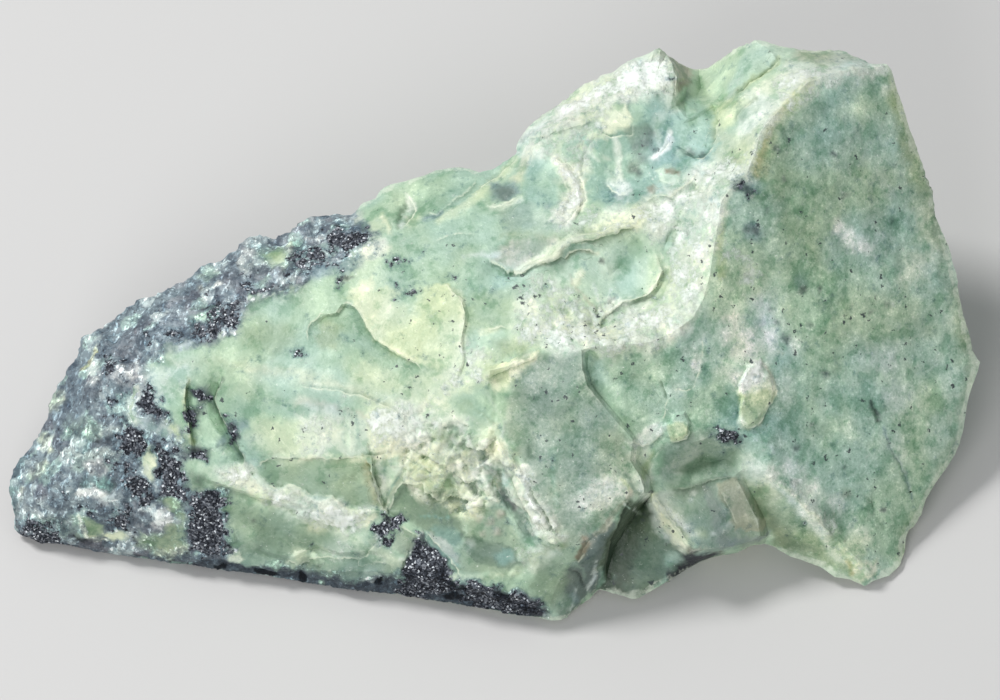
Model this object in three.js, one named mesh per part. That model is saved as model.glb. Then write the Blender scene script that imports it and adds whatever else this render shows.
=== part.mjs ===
// A raw lump of serpentinite, as broken from the outcrop: one stone, about 97 mm long.
// Pale green, waxy rock with a dark granular crust at its left end, flaked ledges across
// the middle, a tall ridge, and one broad face that falls away to a thin right-hand edge.
// Millimetres. +X runs along its length, +Y to the back, +Z up. The stone lies on a flat
// break, and the origin is on that break, under the middle of the stone's box.
import * as THREE from "three";
import { ImprovedNoise } from "three/addons/math/ImprovedNoise.js";
import { mergeVertices } from "three/addons/utils/BufferGeometryUtils.js";

// --- Driving dimensions ---------------------------------------------------------------

// The stone shows one side well. All its lines are given on that side, as
// [across, up, out]: across to the right, up the tilted side, and out of it.
const SIDE_RISE = 55; // how far the side's outward direction rises over level, degrees
const RIM_STEP = 1.05; // longest step along the outline
const LINE_STEP = 1.15; // longest step along a ridge or a valley
const LEDGE_STEP = 0.75; // longest step along a flake's broken edge
const LEDGE_RUN = 0.32; // how far a flake's edge reaches out from lip to foot
const SHOWN_GRAIN = 1.32; // distance between points of the shown side's skin
const BACK_GRAIN = 2.2; // the same on the back and the underside
const RIM_GRAIN = 1.3; // the same on the back, close to the outline
const RIM_BAND = 3.4; // how far in from the outline that reaches
const MEETING = 0.12; // two line points closer than this are one point
const CLEAR_OF_LINES = 0.62; // skin points keep this share of the grain from every line
const SMOOTH_FACE_RELIEF = 0.12; // height of the unevenness of a clean break
const CRUST_RELIEF = 0.6; // height of the crust's lumps
const CHALK_RELIEF = 0.42; // height of the lumps where the rock is bruised white
const BACK_RELIEF = 0.45; // height of the unevenness on the back
const TURN_RUN = 0.8; // how far in from the outline the turn under it is given

const rise = THREE.MathUtils.degToRad(SIDE_RISE);

// Where a point [across, up, out] is, with +Z up.
function inSpace([across, up, out]) {
  return new THREE.Vector3(
    across,
    up * Math.sin(rise) - out * Math.cos(rise),
    up * Math.cos(rise) + out * Math.sin(rise),
  );
}

// The point of the shown side's plan that lies on the ground, or at a height over it.
const onGround = (across, up, height = 0) => [
  across,
  up,
  (height - up * Math.cos(rise)) / Math.sin(rise),
];

// --- The outline, clockwise from the left tip -------------------------------------------

const outline = [
  // rounded crust at the left end
  [-49.2, -13.8, 15.2], [-48.8, -12.0, 14.9], [-48.0, -11.0, 14.8], [-47.0, -9.8, 14.6],
  [-46.2, -9.0, 14.6], [-45.5, -7.0, 14.2], [-45.0, -5.3, 14.0], [-44.0, -3.0, 14.0],
  [-43.4, -2.0, 14.0], [-42.5, -0.2, 13.8], [-41.8, 1.0, 13.6], [-40.8, 1.8, 13.6],
  [-39.8, 2.0, 14.0], [-39.0, 3.0, 13.8], [-37.5, 4.2, 13.8], [-36.0, 5.0, 14.0],
  [-34.5, 5.4, 14.3], [-33.5, 6.2, 14.2], [-31.5, 7.0, 14.2], [-30.0, 8.2, 14.0],
  [-28.5, 9.2, 13.8], [-27.5, 9.6, 14.0], [-26.2, 10.0, 14.2], [-25.0, 11.2, 13.8],
  [-23.8, 11.6, 13.8], [-22.5, 11.3, 14.2], [-21.5, 11.6, 14.2], [-20.0, 12.6, 14.0],
  [-18.5, 13.3, 13.8], [-17.5, 13.7, 13.8], [-16.0, 13.8, 14.0], [-15.0, 13.6, 14.2],
  // the low green lobe behind the middle
  [-13.8, 14.8, 13.6], [-12.5, 15.2, 13.6], [-12.0, 16.0, 13.2], [-11.0, 16.7, 13.0],
  [-9.5, 17.0, 13.2], [-8.0, 17.4, 13.4], [-6.5, 18.1, 13.2], [-4.5, 18.4, 13.4],
  [-3.0, 18.3, 13.8], [-2.0, 17.9, 14.4], [-0.7, 18.3, 14.4], [0.0, 18.8, 14.4],
  // the white shoulder, up to the left peak
  [1.5, 19.7, 14.6], [1.6, 20.7, 14.0], [2.0, 21.4, 13.8], [3.0, 22.8, 13.4],
  [4.5, 23.5, 13.6], [6.2, 24.8, 13.4], [7.5, 26.2, 13.0], [8.5, 26.8, 13.2],
  [9.7, 27.2, 13.4], [10.0, 27.6, 13.4], [11.5, 28.0, 13.8], [12.5, 28.8, 13.8],
  [14.0, 29.5, 14.2], [15.0, 29.9, 14.4], [16.0, 30.4, 14.6], [16.8, 29.8, 13.6],
  // the gap between the two peaks
  [18.0, 29.0, 11.6], [19.0, 28.4, 10.2], [20.0, 28.1, 9.8], [21.2, 28.4, 10.6],
  // the right peak and its level crest
  [22.0, 29.0, 12.0], [23.0, 29.7, 13.2], [24.0, 30.4, 14.0], [25.0, 30.7, 14.8],
  [25.5, 31.1, 15.0], [26.5, 31.1, 15.4], [28.0, 30.6, 15.8], [30.0, 30.2, 16.0],
  [32.5, 30.2, 15.8], [34.5, 30.2, 15.6], [35.0, 29.8, 16.0], [36.6, 29.2, 16.4],
  [37.0, 28.8, 17.2], [38.8, 28.7, 17.4],
  // the thin edge of the broad face
  [39.3, 28.0, 17.2], [39.6, 26.8, 17.2], [40.5, 24.0, 17.0], [41.1, 22.0, 16.7],
  [42.0, 20.0, 16.0], [43.0, 17.5, 15.3], [43.8, 15.8, 14.8], [43.9, 15.0, 14.8],
  [44.0, 13.5, 14.8], [45.0, 10.5, 14.1], [45.5, 8.5, 13.8], [46.0, 6.0, 13.4],
  [46.6, 3.5, 13.0], [47.2, 1.5, 12.6], [47.5, 0.0, 12.4], [48.2, -1.2, 11.9],
  [48.0, -2.2, 12.0], [47.6, -3.5, 12.2], [47.0, -5.5, 12.5], [46.6, -8.0, 12.5],
  [46.3, -9.5, 12.6], [45.8, -10.8, 12.7], [45.0, -11.8, 13.0], [43.8, -13.5, 13.5],
  [42.8, -15.0, 14.0], [42.2, -16.5, 14.1], [41.5, -17.7, 14.5], [41.0, -18.0, 14.7],
  [40.6, -19.0, 14.9], [40.5, -20.5, 15.1], [40.2, -21.7, 15.9], [39.0, -22.7, 16.6],
  [37.5, -23.2, 17.0], [36.5, -23.7, 17.3],
  // from the right foot back to the notch beside the block
  [36.0, -23.4, 17.4], [35.0, -23.0, 17.5], [33.5, -22.8, 17.7], [32.0, -21.8, 17.7],
  [30.5, -21.2, 17.7], [29.0, -20.7, 17.7], [27.5, -19.8, 17.7], [26.5, -19.4, 17.9],
  // the block's foot
  [25.5, -19.5, 19.3], [24.5, -19.8, 19.4], [24.0, -20.1, 19.2], [22.5, -20.4, 19.0],
  [21.2, -20.8, 18.8], [20.0, -21.3, 18.6], [18.5, -22.2, 18.5], [17.0, -23.2, 18.5],
  [15.5, -24.0, 18.5], [14.0, -24.9, 18.7], [13.2, -25.1, 18.7], [12.2, -24.7, 18.6],
  [11.0, -24.3, 18.4], [10.0, -24.0, 18.3],
  // the steep nose, then the long straight front edge
  [9.7, -24.2, 18.3], [9.0, -25.0, 18.6], [8.0, -25.6, 18.9], [7.2, -26.2, 19.2],
  [6.2, -27.0, 19.7], [5.2, -27.1, 19.8], [4.0, -26.8, 19.6], [0.0, -26.2, 19.1],
  [-5.0, -25.3, 18.4], [-10.0, -24.5, 17.9], [-15.0, -24.0, 17.5], [-20.0, -23.2, 16.9],
  [-25.0, -22.4, 16.4], [-30.0, -21.8, 16.0], [-35.0, -21.0, 15.4], [-40.0, -20.2, 14.9],
  [-44.0, -19.5, 14.4], [-46.5, -19.3, 14.3], [-47.5, -18.7, 14.0], [-48.6, -18.0, 13.9],
  [-49.0, -16.0, 14.6],
];

// --- The shown side's sharp lines ---------------------------------------------------------

const sharpLines = {
  // the front edge's upper corner, over the dark band that stands on the ground
  frontCorner: [
    [-48.2, -17.2, 15.8], [-46.5, -18.4, 15.9], [-44, -18.8, 16.0], [-40, -19.3, 16.5],
    [-35, -20.0, 17.1], [-31, -20.7, 17.6], [-26, -21.4, 18.1], [-20, -22.1, 18.7],
    [-15, -22.1, 20.1], [-10, -22.3, 21.1], [-6, -22.9, 21.6], [-2, -23.6, 22.1],
    [1, -24.2, 22.3], [3.4, -25.0, 22.1], [4.8, -25.9, 21.5],
  ],
  // the brow, where the level top turns over into the front
  brow: [
    [-34, -2.5, 21.0], [-31, -2.4, 21.8], [-26, -3.4, 22.7], [-23, -4.4, 23.2],
    [-20, -3.9, 23.8], [-17, -4.2, 24.3], [-14, -5.4, 24.8], [-10, -7.2, 25.4],
    [-7, -8.2, 25.6],
  ],
  // the corner of the olive step, and the break down its right-hand end
  oliveStep: [
    [-25, -11.1, 22.6], [-21, -10.7, 23.6], [-17, -10.7, 24.3], [-13, -10.5, 24.8],
  ],
  // the bruised white spine under the olive step
  whiteSpine: [
    [-30.5, -10.5, 21.2], [-28, -11.8, 21.7], [-24, -13.0, 22.4], [-20, -13.9, 22.9],
    [-17, -15.6, 22.7], [-14, -16.5, 22.5], [-11.6, -16.7, 22.3],
  ],
  // the splintered left border of the front face, and the gutter beside it
  splinterRidge: [
    [-1.2, -8.4, 26.9], [0.3, -10.5, 27.0], [1.9, -13, 26.7], [3.9, -16.5, 26.1],
    [5.6, -19.6, 25.3],
  ],
  splinterGutter: [
    [-2.2, -11, 25.2], [-0.4, -13.5, 24.7], [1.2, -16.2, 24.1], [2.8, -19, 23.5],
  ],
  // the nose: the front face's lower right border, over the steep end
  nose: [
    [14.3, -14.1, 26.6], [13.0, -15.7, 25.9], [11.8, -17.5, 25.1], [10.6, -19.2, 24.4],
    [9.4, -20.4, 23.9], [7.6, -21.7, 23.6], [6.2, -22.6, 23.2], [5.4, -24.1, 22.5],
    [4.9, -25.8, 21.6],
  ],
  // the steep end's own right border, beside the notch, and the notch's floor
  steepEnd: [
    [14.4, -14.3, 26.2], [13.2, -15.9, 25.2], [12.1, -17.6, 24.2], [11.1, -19.3, 23.0],
    [10.5, -21.3, 21.2], [10.2, -23.0, 19.4],
  ],
  notchFloor: [
    [14.9, -14.7, 21.9], [13.7, -16.2, 20.6], [12.6, -17.9, 20.0], [11.6, -19.6, 19.5],
    [11.0, -21.6, 19.1], [10.7, -23.2, 18.7],
  ],
  // the front face's upper right lip, and the foot of that step
  faceLip: [
    [2.6, -1.4, 28.0], [5.4, -0.5, 28.5], [8.1, 0.0, 28.9], [8.2, -2.0, 28.7],
    [8.6, -3.6, 28.4], [10.0, -5.2, 28.0], [11.5, -7.0, 27.6], [13.2, -8.9, 27.2],
  ],
  faceLipFoot: [
    [8.8, -0.4, 27.8], [8.7, -2.0, 27.6], [9.1, -3.4, 27.4], [10.4, -5.0, 27.1],
    [11.9, -6.8, 26.8], [13.5, -8.6, 26.4],
  ],
  // from the lip's end down to the nose's tip
  faceRight: [
    [13.2, -9.2, 27.1], [12.9, -11, 27.0], [13.9, -12.6, 26.9], [14.3, -13.8, 26.7],
  ],
  // the crease beside it, down to the block
  crease: [
    [14.2, -9.4, 25.9], [13.8, -11, 25.5], [15.0, -12.8, 24.2], [15.2, -14.2, 22.9],
  ],
  // the scooped hollow, above and below
  hollowTop: [
    [16.2, -11.6, 24.8], [16.7, -10.4, 25.3], [18.2, -9.5, 25.5], [20.2, -8.9, 25.6],
    [22.5, -8.0, 25.5], [25, -8.5, 24.8], [26.6, -9.1, 24.3], [27.3, -10.0, 23.8],
  ],
  hollowFoot: [
    [16.9, -13.9, 23.5], [19, -13.2, 23.7], [21, -12.7, 23.9], [23.4, -12.5, 23.8],
    [25.6, -11.0, 23.7],
  ],
  // the block: its left ridge, its front edge and its right edge with the step beyond
  blockRidge: [
    [15.2, -15.2, 23.0], [16.6, -17.0, 23.4], [19.2, -20.0, 23.3],
  ],
  blockFront: [
    [19.4, -20.0, 23.2], [21.5, -19.8, 22.3], [24.0, -19.5, 21.1], [25.6, -18.9, 20.6],
  ],
  blockRight: [
    [23.6, -12.9, 23.6], [24.7, -15, 22.9], [25.7, -17, 21.9], [26.0, -18.6, 20.9],
  ],
  blockRightFoot: [
    [24.4, -13.0, 22.9], [25.5, -15, 21.6], [26.5, -17, 20.3], [26.9, -18.6, 19.0],
  ],
  // the ridge that parts the broad face from its lower left facet
  lowRidge: [
    [25.0, -12.3, 23.4], [26.6, -12.0, 23.7], [29, -14.3, 22.5], [32, -17.4, 20.9],
    [35, -20.1, 19.2], [36.8, -22.0, 18.2],
  ],
  // the tall ridge, from the right peak down and round to the front face
  tallRidge: [
    [37.4, 28.3, 18.4], [36, 28.2, 19.6], [33, 27.6, 21.2], [30.8, 26.8, 22.4],
    [29, 25.2, 23.4], [27.5, 23.6, 24.3], [26, 21.8, 25.1], [25.3, 19.5, 25.7],
    [24.6, 17.6, 26.2], [23, 16.2, 26.6], [22, 14.8, 27.0], [21.7, 12.5, 27.3],
    [21.2, 9.5, 27.5], [20.9, 7.5, 27.6], [20.3, 5.2, 27.8], [19.2, 3.2, 28.0],
    [17.3, 1.8, 28.2], [15, 0.8, 28.4], [12, 0.5, 28.6], [9.2, 0.3, 28.8],
  ],
  // the foot of that ridge's white left flank
  flankFoot: [
    [18.4, 14.0, 24.6], [16.8, 11.4, 24.4], [16, 9, 24.6], [16.4, 7, 24.9],
    [15.4, 5.6, 25.2], [13.2, 4.7, 25.5], [11.4, 3.6, 25.7], [10, 2.6, 26.0],
  ],
  // the white shoulder's lower border, and the left peak's steep end over the gap
  shoulderFoot: [
    [3.4, 20.2, 17.2], [5, 21.8, 17.7], [7, 22.8, 17.8], [9.4, 23.4, 17.9],
    [11, 24.6, 17.9], [13.5, 25, 18.0], [15.5, 25.6, 17.9], [17.3, 25.4, 17.7],
  ],
  peakEnd: [
    [17.3, 28.6, 15.6], [17.7, 27.3, 16.6], [17.5, 25.9, 17.4],
  ],
  peakEndFoot: [
    [18.6, 27.9, 12.6], [18.9, 26.6, 14.0], [18.5, 25.1, 15.8],
  ],
  // the fold between the right peak's lobe and the bright plane under the tall ridge
  fold: [
    [31, 29.2, 18.0], [28, 28.9, 18.1], [26, 27.4, 18.5], [23.6, 25.4, 19.2],
    [22.3, 23.4, 19.8], [21.8, 21, 20.8], [21.5, 18.8, 22.4],
  ],
};

// --- Flakes broken off in steps ---------------------------------------------------------

// Each flake's lip, walked with the lower ground on the right hand, and how far it drops.
const flakes = [
  {
    // the long upper layer's ragged edge
    drop: 1.1,
    lip: [
      [-2.6, 7.4, 23.6], [0.0, 7.4, 24.2], [2.0, 7.6, 24.6], [3.2, 8.4, 24.7],
      [5.4, 9.3, 24.9], [6.2, 10.4, 24.8], [7.2, 11.2, 24.7], [10.2, 11.6, 24.5],
      [11.0, 12.3, 24.3], [13.2, 12.4, 24.3], [15.4, 11.6, 24.7],
    ].reverse(),
  },
  {
    // the yellow layer over the pocket on the level top
    drop: 0.3,
    lip: [
      [-19.2, 0.6, 22.6], [-19.0, 2.4, 22.2], [-17.6, 3.5, 22.1], [-16.4, 3.7, 22.2],
      [-15.8, 4.6, 22.1], [-14.4, 4.3, 22.4], [-13.4, 2.6, 22.9], [-11.8, 0.6, 23.6],
      [-9.6, -0.6, 24.2], [-8.0, -1.4, 24.6], [-7.4, -3.4, 25.0],
    ],
  },
  {
    // the same layer's right-hand end
    drop: 0.22,
    lip: [
      [-6.4, 6.6, 22.9], [-5.0, 6.2, 23.3], [-3.8, 4.8, 23.9], [-3.4, 3.4, 24.3],
      [-3.9, 1.0, 24.9], [-3.7, -1.0, 25.4], [-4.4, -3.2, 25.8],
    ].reverse(),
  },
  {
    // the break down the right-hand end of the olive step
    drop: 1.3,
    lip: [
      [-12.8, -10.6, 24.8], [-12.7, -12.8, 24.2], [-12.1, -14.8, 23.4],
      [-11.3, -16.4, 22.5],
    ].reverse(),
  },
  {
    // the thin blade at the top of the front face
    drop: 0.5,
    lip: [
      [-3.2, -3.4, 26.4], [-1.6, -2.2, 26.9], [0.8, -1.6, 27.6], [3.6, -0.2, 28.1],
    ].reverse(),
  },
  {
    // the chalky lower layer under the tall ridge's flank
    drop: 0.6,
    lip: [
      [9.6, 2.4, 26.0], [10.6, 3.4, 25.8], [12.2, 4.8, 25.7], [14.6, 5.4, 25.5],
      [15.8, 6.4, 25.3],
    ].reverse(),
  },
];

// Smaller steps that only shift the skin. Each lip is walked with the moved ground on the
// right hand. shift is how far that ground moves out, and reach is how far it takes to
// come back. A closed lip moves all that it encloses.
const chips = [
  {
    // a scab of rock that still sits on the broad face
    shift: 0.55,
    closed: true,
    lip: [
      [23.8, -3.5], [24.5, -2.2], [25.2, -1.3], [26.0, -1.6], [26.8, -2.3], [27.3, -4.2],
      [27.0, -5.5], [26.2, -6.2], [25.4, -7.2], [24.7, -7.6], [24.0, -7.1], [23.9, -5.9],
      [24.2, -4.8],
    ],
  },
  {
    // the left border of the forked notch in the green rock beside the crust
    shift: -0.8,
    reach: 3,
    lip: [[-30.5, -11], [-30.7, -9], [-30.9, -7], [-31.3, -4.6], [-31.1, -2.2]],
  },
  {
    // the notch's right border
    shift: -0.9,
    reach: 3,
    lip: [
      [-27.4, -1.8], [-28, -3.2], [-28.7, -4.8], [-28.2, -6.6], [-27, -8.8], [-25.8, -10.8],
      [-25.2, -12.8],
    ],
  },
  {
    // the white spine's lower break
    shift: -0.45,
    reach: 4,
    lip: [
      [-31.6, -11.4], [-29.4, -13], [-27.2, -13.7], [-24.4, -14.8], [-21.6, -15.4],
      [-19.4, -16.8], [-16.4, -17.4], [-13.6, -17.6],
    ],
  },
  {
    // a flake off the shoulder's white border
    shift: -0.35,
    reach: 5,
    lip: [
      [4.6, 19.6], [6.6, 18.4], [7.8, 16.6], [8.2, 14.6], [7.4, 13], [5.6, 12.2],
    ].reverse(),
  },
  {
    // the border of the small green bowl under the gap
    shift: -0.6,
    reach: 4,
    lip: [
      [21.6, 24.4], [21.9, 22.4], [21.5, 20.8], [20.6, 19.6], [19.4, 19.3], [17.8, 20.3],
      [16.2, 20.2],
    ],
  },
  {
    // the olive lobe's curled border
    shift: 0.7,
    reach: 4,
    lip: [[17.6, 22.6], [19.4, 23.2], [21.4, 24.6], [23.6, 26.6], [25.4, 28.2]].reverse(),
  },
  {
    // the crumb over the hollow
    shift: 0.4,
    closed: true,
    lip: [
      [16.2, -7.6], [16.9, -7.2], [17.4, -6.4], [18.4, -6.2], [18.9, -7.2], [18.6, -8.3],
      [17.6, -8.9], [16.6, -8.6],
    ],
  },
  {
    // the broken step over the front corner
    shift: -0.4,
    reach: 2.6,
    lip: [
      [-26.6, -19.4], [-24.8, -19.2], [-23.4, -20.4], [-20.6, -20.8], [-18.4, -19.6],
      [-16.2, -20.4], [-12.8, -20.2], [-9.6, -20.6],
    ],
  },
];

// Shallow shell-shaped hollows where flakes sprang off: across, up, radius and depth.
const scoops = [
  [34.2, -16.8, 3.2, 0.6], [36, 14, 9, 0.5], [40, -1, 7, 0.45], [27.5, 6, 7, 0.4],
  [30, -6, 6, 0.35], [6, -8, 5, 0.3], [-13, 1.6, 4, 0.5], [-4, -14.6, 3, 0.9],
  [-8.6, -10.2, 2.6, 0.6], [-17.4, -19, 3.4, 0.5], [-22, -7.4, 5, 0.4], [-1, 10, 5, 0.4],
  [-9, 14.4, 3, 0.7], [13.6, 9.4, 3.4, 0.6], [12.5, 18.5, 4, 0.6],
];

// --- Soft swells: places on the shown side that only lift or sink the skin -----------------

const swells = [
  // the crust's rounded back
  [-46.2, -14, 18.0], [-44.2, -9.5, 18.4], [-41.8, -4, 18.3], [-38, 0, 18.2],
  [-33, 2.8, 18.4], [-28, 5.6, 18.2], [-23, 7.9, 17.9], [-18, 10, 17.9],
  [-44, -16, 18.0], [-38, -16.4, 19.2], [-32, -17, 20.0], [-40, -10, 20.4],
  [-36, -6, 20.8], [-34, -12, 21.0], [-30, -6, 22.2],
  // the level top
  [-23, 2.6, 21.2], [-15, 1, 23.2], [-9, 4, 22.8], [-15, 7.6, 20.6], [-8, 9.6, 20.8],
  [1, 3.6, 25.4], [0, -2.6, 26.6], [-9, -4, 25.3], [-12, 12.6, 17.6], [-6, 14.6, 17.6],
  [0, 14.6, 19.0], [6, 15.6, 20.4], [4, 11.6, 22.8],
  // the broken white middle
  [-7, -11, 25.0], [-4.6, -10.4, 25.8], [-4.4, -14, 24.4], [-8.4, -14.6, 23.6],
  [-3, -19, 23.3], [-8, -19, 22.6],
  // the front face
  [5.5, -6, 28.2], [9, -10, 27.8], [5, -13, 27.4], [9, -16, 26.4], [7, -19, 25.4],
  // the plane behind it, and the hollow
  [13, -3, 27.0], [17, -4, 26.8], [15.6, -7.6, 26.1], [19.4, -11.6, 23.2],
  [22.6, -10.8, 23.4], [21, -16, 23.2],
  // the broad face
  [28, 14, 24.6], [34, 20, 21.6], [36, 8, 20.0], [30, 2, 22.6], [38, -4, 18.4],
  [33, -8, 20.6], [40, -12, 16.4], [27.6, -16.6, 20.9],
  // the basin between the peaks and the gap
  [9, 19.4, 18.7], [13.4, 21, 18.9], [13, 16.4, 21.2], [17, 17, 21.6], [18.2, 21, 19.4],
  [20.2, 24, 17.2], [20.2, 26.4, 12.4], [24.4, 28.6, 16.7], [27, 30, 17.2],
  [12, 8.4, 23.7],
];

// --- The back and the underside ---------------------------------------------------------

// The flat break that the stone lies on.
const base = [
  onGround(-46.0, -18.3), onGround(-40, -19.4), onGround(-30, -21), onGround(-20, -22.4),
  onGround(-10, -23.7), onGround(0, -25.4), onGround(5.2, -26.2), onGround(9.2, -23.4),
  onGround(15.6, -22.6), onGround(26, -17.6), onGround(35.6, -22.2), onGround(38.6, -20.4),
  onGround(38.4, -12), onGround(36, -2), onGround(30, 8.6), onGround(20, 12.2),
  onGround(8, 9.6), onGround(-4, 4.4), onGround(-18, 0.6), onGround(-30, -3.4),
  onGround(-40, -9), onGround(-45.4, -14),
];

// Corners of the big breaks behind, as heights over the ground.
const backLines = {
  heel: [
    onGround(28.6, 26.2, 19), onGround(27.4, 22, 13.4), onGround(28.2, 18.4, 8),
    onGround(26.8, 14.6, 3.6), onGround(26.2, 11.2, 0.7),
  ],
  underEdge: [
    onGround(43.4, -7, 3.2), onGround(41.6, 1, 5.4), onGround(40.6, 8, 8.8),
    onGround(38, 14.6, 13.6), onGround(36.6, 20.4, 18.8),
  ],
};

// How far the skin drops behind the back part of the outline before it turns downwards:
// at each place across, far for a rounded rim and little for a sharp edge.
const turns = [
  [-50, 2.4], [-44, 3.2], [-30, 3.6], [-22, 2.8], [-13, 3.4], [-6, 3.8], [2, 2.2],
  [9, 3.0], [17, 1.6], [24, 2.6], [33, 2.2], [38, 1.2], [44, 1.0], [50, 0.7],
];

// Shell-shaped scars that meet in ridges: across, up, radius and depth.
const backScars = [
  [-41, -5, 6, 0.9], [-33, 1, 7, 1.3], [-24.5, 6.5, 7.5, 1.5], [-17, 3.4, 6, 1.0],
  [-13, 11, 7, 1.6], [-4, 9, 7, 1.2], [1, 15.4, 6.5, 1.5], [9, 14.5, 7.5, 1.5],
  [12, 23.5, 6, 1.3], [19.5, 20, 7, 1.5], [27, 25, 8, 1.3], [34, 20, 8, 1.3],
  [30.5, 14, 6, 1.1], [40, 12, 8, 1.1], [38.5, 2, 7, 1.1], [43, -4, 6, 0.7],
  [40, -12, 5.5, 0.6], [-28, -1.6, 4.5, 0.8],
];

// --- Where the skin is rough --------------------------------------------------------------

// The inner border of the crust: it covers the stone to the left of and above this line.
const crustEdge = [
  [-12.4, 16], [-12.8, 11.2], [-16, 8], [-22, 5.4], [-27, 3.6], [-33, -0.4], [-35.6, -3],
  [-31, -6], [-29, -11], [-29, -15], [-26.6, -18], [-26.6, -30], [-60, -30], [-60, 30],
  [-12.4, 30],
];

// Bruised patches: centre across and up, and radius.
const chalk = [
  [-5, -10.6, 5.6], [2.4, -14.6, 4], [5.4, 3.6, 5], [18, 8, 4.6], [-17, -15.4, 4],
  [9, 25, 4], [27, 25.6, 3], [-24, -12.6, 4], [13, 13, 3],
];

// --- Making the skin ------------------------------------------------------------------------

const SOLVER_ROUNDS = 900; // more than the skins need to settle
const LEAST_WEIGHT = 0.02; // a neighbour never counts for less than this
const START_OUT = 18; // where a free point starts, near the middle of the stone
const noise = new ImprovedNoise();

// Unevenness at a place, made of two sizes of lump, from about -1 to 1.
function lumps(x, y, z, size) {
  const at = (f) => noise.noise(x * f + 7.3, y * f + 1.9, z * f + 4.1);
  return at(1 / size) + 0.6 * at(2.1 / size);
}

// Is [x, y] inside the closed outline?
function inside(x, y, polygon) {
  let hit = false;
  for (let i = 0, j = polygon.length - 1; i < polygon.length; j = i++) {
    const [xi, yi] = polygon[i];
    const [xj, yj] = polygon[j];
    if (yi > y !== yj > y && x < ((xj - xi) * (y - yi)) / (yj - yi) + xi) hit = !hit;
  }
  return hit;
}

// How high the unevenness stands at a place of the shown side.
function relief(x, y) {
  if (inside(x, y, crustEdge)) return CRUST_RELIEF;
  let bruised = 0;
  for (const [cx, cy, radius] of chalk) {
    bruised = Math.max(bruised, 1 - Math.hypot(x - cx, y - cy) / radius);
  }
  return SMOOTH_FACE_RELIEF + (CHALK_RELIEF - SMOOTH_FACE_RELIEF) * Math.min(1, bruised * 2);
}

// The points of a line, with more put between them until no step is longer than step.
function along(line, step, closed = false) {
  const made = [];
  const ends = closed ? line.length : line.length - 1;
  for (let i = 0; i < ends; i++) {
    const a = line[i];
    const b = line[(i + 1) % line.length];
    const pieces = Math.ceil(Math.hypot(b[0] - a[0], b[1] - a[1]) / step);
    for (let k = 0; k < pieces; k++) made.push(a.map((v, n) => v + ((b[n] - v) * k) / pieces));
  }
  if (!closed) made.push(line.at(-1));
  return made;
}

// The two rows of points that run beside a line, on its left hand and on its right.
function rows(line, apartBy, closed = false) {
  const way = (i, d) => line[closed ? (i + d + line.length) % line.length : i + d] ?? line[i];
  const moved = (side) => line.map((p, i) => {
    const [before, after] = [way(i, -1), way(i, 1)];
    const run = Math.hypot(after[0] - before[0], after[1] - before[1]);
    return [
      p[0] + ((after[1] - before[1]) / run) * side,
      p[1] - ((after[0] - before[0]) / run) * side,
    ];
  });
  return [moved(-apartBy / 2), moved(apartBy / 2)];
}

// A flake's lip and foot. The drop fades out towards both ends of the lip.
function ledge({ lip, drop }) {
  const top = along(lip, LEDGE_STEP);
  const [, foot] = rows(top, 2 * LEDGE_RUN);
  const fade = (i) => Math.min(1, (3 * i + 1) / top.length, (3 * (top.length - 1 - i) + 1) / top.length);
  return [top, foot.map(([x, y], i) => [x, y, top[i][2] - drop * fade(i)])];
}

// How far a chip moves the place [x, y]: all of it inside a closed lip, and by a share
// that fades with the distance, and towards the lip's ends, beside an open one.
function chipShift({ shift, reach, lip, closed }, x, y) {
  if (closed) return inside(x, y, lip) ? shift : 0;
  let nearest = Infinity;
  let moved = 0;
  for (let i = 0; i < lip.length - 1; i++) {
    const [ax, ay] = lip[i];
    const [bx, by] = [lip[i + 1][0] - ax, lip[i + 1][1] - ay];
    const share = ((x - ax) * bx + (y - ay) * by) / (bx * bx + by * by);
    const t = Math.min(1, Math.max(0, share));
    const away = Math.hypot(x - ax - bx * t, y - ay - by * t);
    if (away >= nearest) continue;
    nearest = away;
    const rightHand = bx * (y - ay) - by * (x - ax) < 0;
    const place = (i + t) / (lip.length - 1);
    const fade = Math.min(1, 4 * place, 4 * (1 - place));
    moved = rightHand && away < reach ? shift * fade * (1 - away / reach) ** 2 : 0;
  }
  return moved;
}

// How far soft-edged scoops sink the place [x, y], and how far sharp-edged scars do.
const caps = (list, x, y) => list.map(([cx, cy, radius, depth]) => (
  [depth, Math.max(0, 1 - ((x - cx) ** 2 + (y - cy) ** 2) / radius ** 2)]
));
const scooped = (x, y) => caps(scoops, x, y).reduce((sum, [depth, cap]) => sum + depth * cap ** 2, 0);
const scarred = (x, y) => Math.max(...caps(backScars, x, y).map(([depth, cap]) => depth * cap));

// The value at x in a table of [x, value] rows.
function read(table, x) {
  const i = Math.max(1, table.findIndex((row) => row[0] > x));
  const [[x0, v0], [x1, v1]] = [table[i - 1], table[i]];
  return v0 + ((v1 - v0) * (x - x0)) / (x1 - x0);
}

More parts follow.
